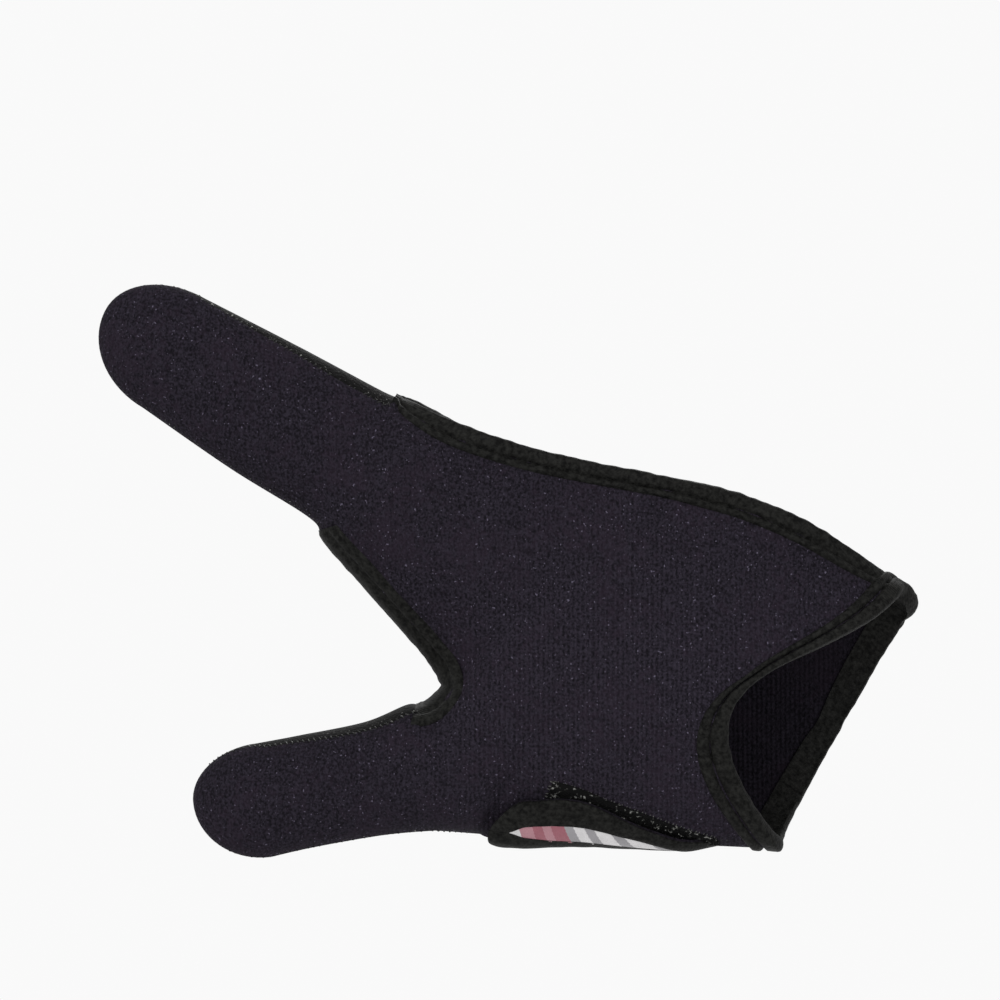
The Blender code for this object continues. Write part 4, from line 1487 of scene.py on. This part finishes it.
def edge_stitches(spot):
    """The close stitches that hold the loop patch down along its top and its near end."""
    stitches = []
    top = [(i / 150, 0.955) for i in range(151)]
    end = [(0.012, 1 - 0.5 * i / 40) for i in range(41)]
    for places in (top, end):
        line = [spot(u, v) for u, v in places]
        for k, (place, direction, i) in enumerate(walk([point for point, _ in line], EDGE_STITCH_PITCH)):
            up = line[min(int(i), len(line) - 1)][1]
            across = up.cross(direction).normalized()
            lean = 1.35 if k % 2 else 1.75
            heading = direction * math.cos(lean) + across * math.sin(lean)
            stitches.append(stitch(place + up * 0.0005, heading, up, EDGE_STITCH_LENGTH, 0.00038))
    return stitches


class GLOVE_OT_patches(bpy.types.Operator):
    """Make the loop patch that the strap closes on, and dress the hook patch"""

    bl_idname = "glove.patches"
    bl_label = "Patches"

    def execute(self, context):
        look = materials_of(context.scene.glove_settings)
        bm = bmesh.new()
        lay_grid(bm, 40, 16, patch_place)
        thicken(bm, -PATCH_GROUND)
        finish_piece("loop_patch_ground", bm, [look["pile"]], node="loop_patch")
        spot = patch_spots()
        finish_stitches("loop_patch_pile", pile_loops(spot, random.Random(12)), look["pile"])
        finish_stitches("loop_patch_zigzag", edge_stitches(spot), look["grey_thread"])
        for slot in bpy.data.objects["hook_patch"].material_slots:
            slot.material = look["hook"]
        return {"FINISHED"}


# The studio

CAMERA_PLACE = (-0.0791, -0.95, 0.0516)
CAMERA_LENS = 150.5
FLOOR_PLACE = (-0.08, 0, -0.30)
FLOOR_RADIUS = 1.3
LAMP_TARGET = (-0.08, 0, 0.04)
WORLD_STRENGTH = 0.95

Lamp = namedtuple("Lamp", "name place size power")
LAMPS = [
    Lamp("key", (-0.75, -1.05, 0.95), 0.9, 14),
    Lamp("fill", (0.95, -0.85, 0.25), 1.1, 4),
    Lamp("back", (0.1, 1.1, 0.8), 1.0, 10),
]


def board_material(name, colour):
    """Matt painted board: no gloss, no pattern."""
    material, _tree, shader, _place = start_material(name, 0.9, 0.2)
    shader.inputs["Base Color"].default_value = shade_of(colour)
    return material


class GLOVE_OT_stage(bpy.types.Operator):
    """Set up the pale floor, the soft studio light and the camera"""

    bl_idname = "glove.stage"
    bl_label = "Stage"

    def execute(self, context):
        scene = context.scene
        bm = bmesh.new()
        bmesh.ops.create_circle(
            bm, cap_ends=True, segments=96, radius=FLOOR_RADIUS, matrix=Matrix.Translation(FLOOR_PLACE),
        )
        mesh = bpy.data.meshes.new("floor")
        bm.to_mesh(mesh)
        bm.free()
        mesh.materials.append(board_material("matt_white_board", hex_colour("#e9e9e9")))
        floor = bpy.data.objects.new("floor", mesh)
        scene.collection.objects.link(floor)
        floor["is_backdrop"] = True

        for lamp in LAMPS:
            data = bpy.data.lights.new(lamp.name, "AREA")
            data.shape = "DISK"
            data.size = lamp.size
            data.energy = lamp.power
            light = bpy.data.objects.new(lamp.name, data)
            light.location = lamp.place
            aim = Vector(LAMP_TARGET) - Vector(lamp.place)
            light.rotation_euler = aim.to_track_quat("-Z", "Y").to_euler()
            scene.collection.objects.link(light)

        world = bpy.data.worlds.new("studio")
        world.use_nodes = True
        background = world.node_tree.nodes["Background"]
        background.inputs["Color"].default_value = (1.0, 1.0, 1.0, 1.0)
        background.inputs["Strength"].default_value = WORLD_STRENGTH
        scene.world = world

        data = bpy.data.cameras.new("camera")
        data.sensor_width = 36
        data.lens = CAMERA_LENS
        data.clip_start = 0.02
        camera = bpy.data.objects.new("camera", data)
        camera.location = CAMERA_PLACE
        camera.rotation_euler = (math.radians(90), 0, 0)
        scene.collection.objects.link(camera)
        scene.camera = camera
        scene.view_settings.view_transform = "Standard"
        return {"FINISHED"}


class GLOVE_PT_sidebar(bpy.types.Panel):
    """Lists the glove's settings and steps"""

    bl_idname = "GLOVE_PT_sidebar"
    bl_label = "Fishing glove"
    bl_space_type = "VIEW_3D"
    bl_region_type = "UI"
    bl_category = "Glove"

    def draw(self, context):
        settings = context.scene.glove_settings
        column = self.layout.column()
        for name in GloveSettings.__annotations__:
            column.prop(settings, name)
        for step in STEPS:
            column.operator(step.bl_idname)


STEPS = (
    GLOVE_OT_panels, GLOVE_OT_seams, GLOVE_OT_tapes, GLOVE_OT_web_tape, GLOVE_OT_strap, GLOVE_OT_patches,
    GLOVE_OT_stage,
)
CLASSES = (GloveSettings, *STEPS, GLOVE_PT_sidebar)


def register():
    for cls in CLASSES:
        bpy.utils.register_class(cls)
    bpy.types.Scene.glove_settings = bpy.props.PointerProperty(type=GloveSettings)


def unregister():
    del bpy.types.Scene.glove_settings
    for cls in reversed(CLASSES):
        bpy.utils.unregister_class(cls)


def main():
    register()
    bpy.ops.glove.panels()
    bpy.ops.glove.seams()
    bpy.ops.glove.tapes()
    bpy.ops.glove.web_tape()
    bpy.ops.glove.strap()
    bpy.ops.glove.patches()
    bpy.ops.glove.stage()
    boxes = {"cad": CAD_BOX, "visual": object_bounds()}
    sizes = {name: [[float(c) for c in corner] for corner in box] for name, box in boxes.items()}


if __name__ == "__main__":
    main()
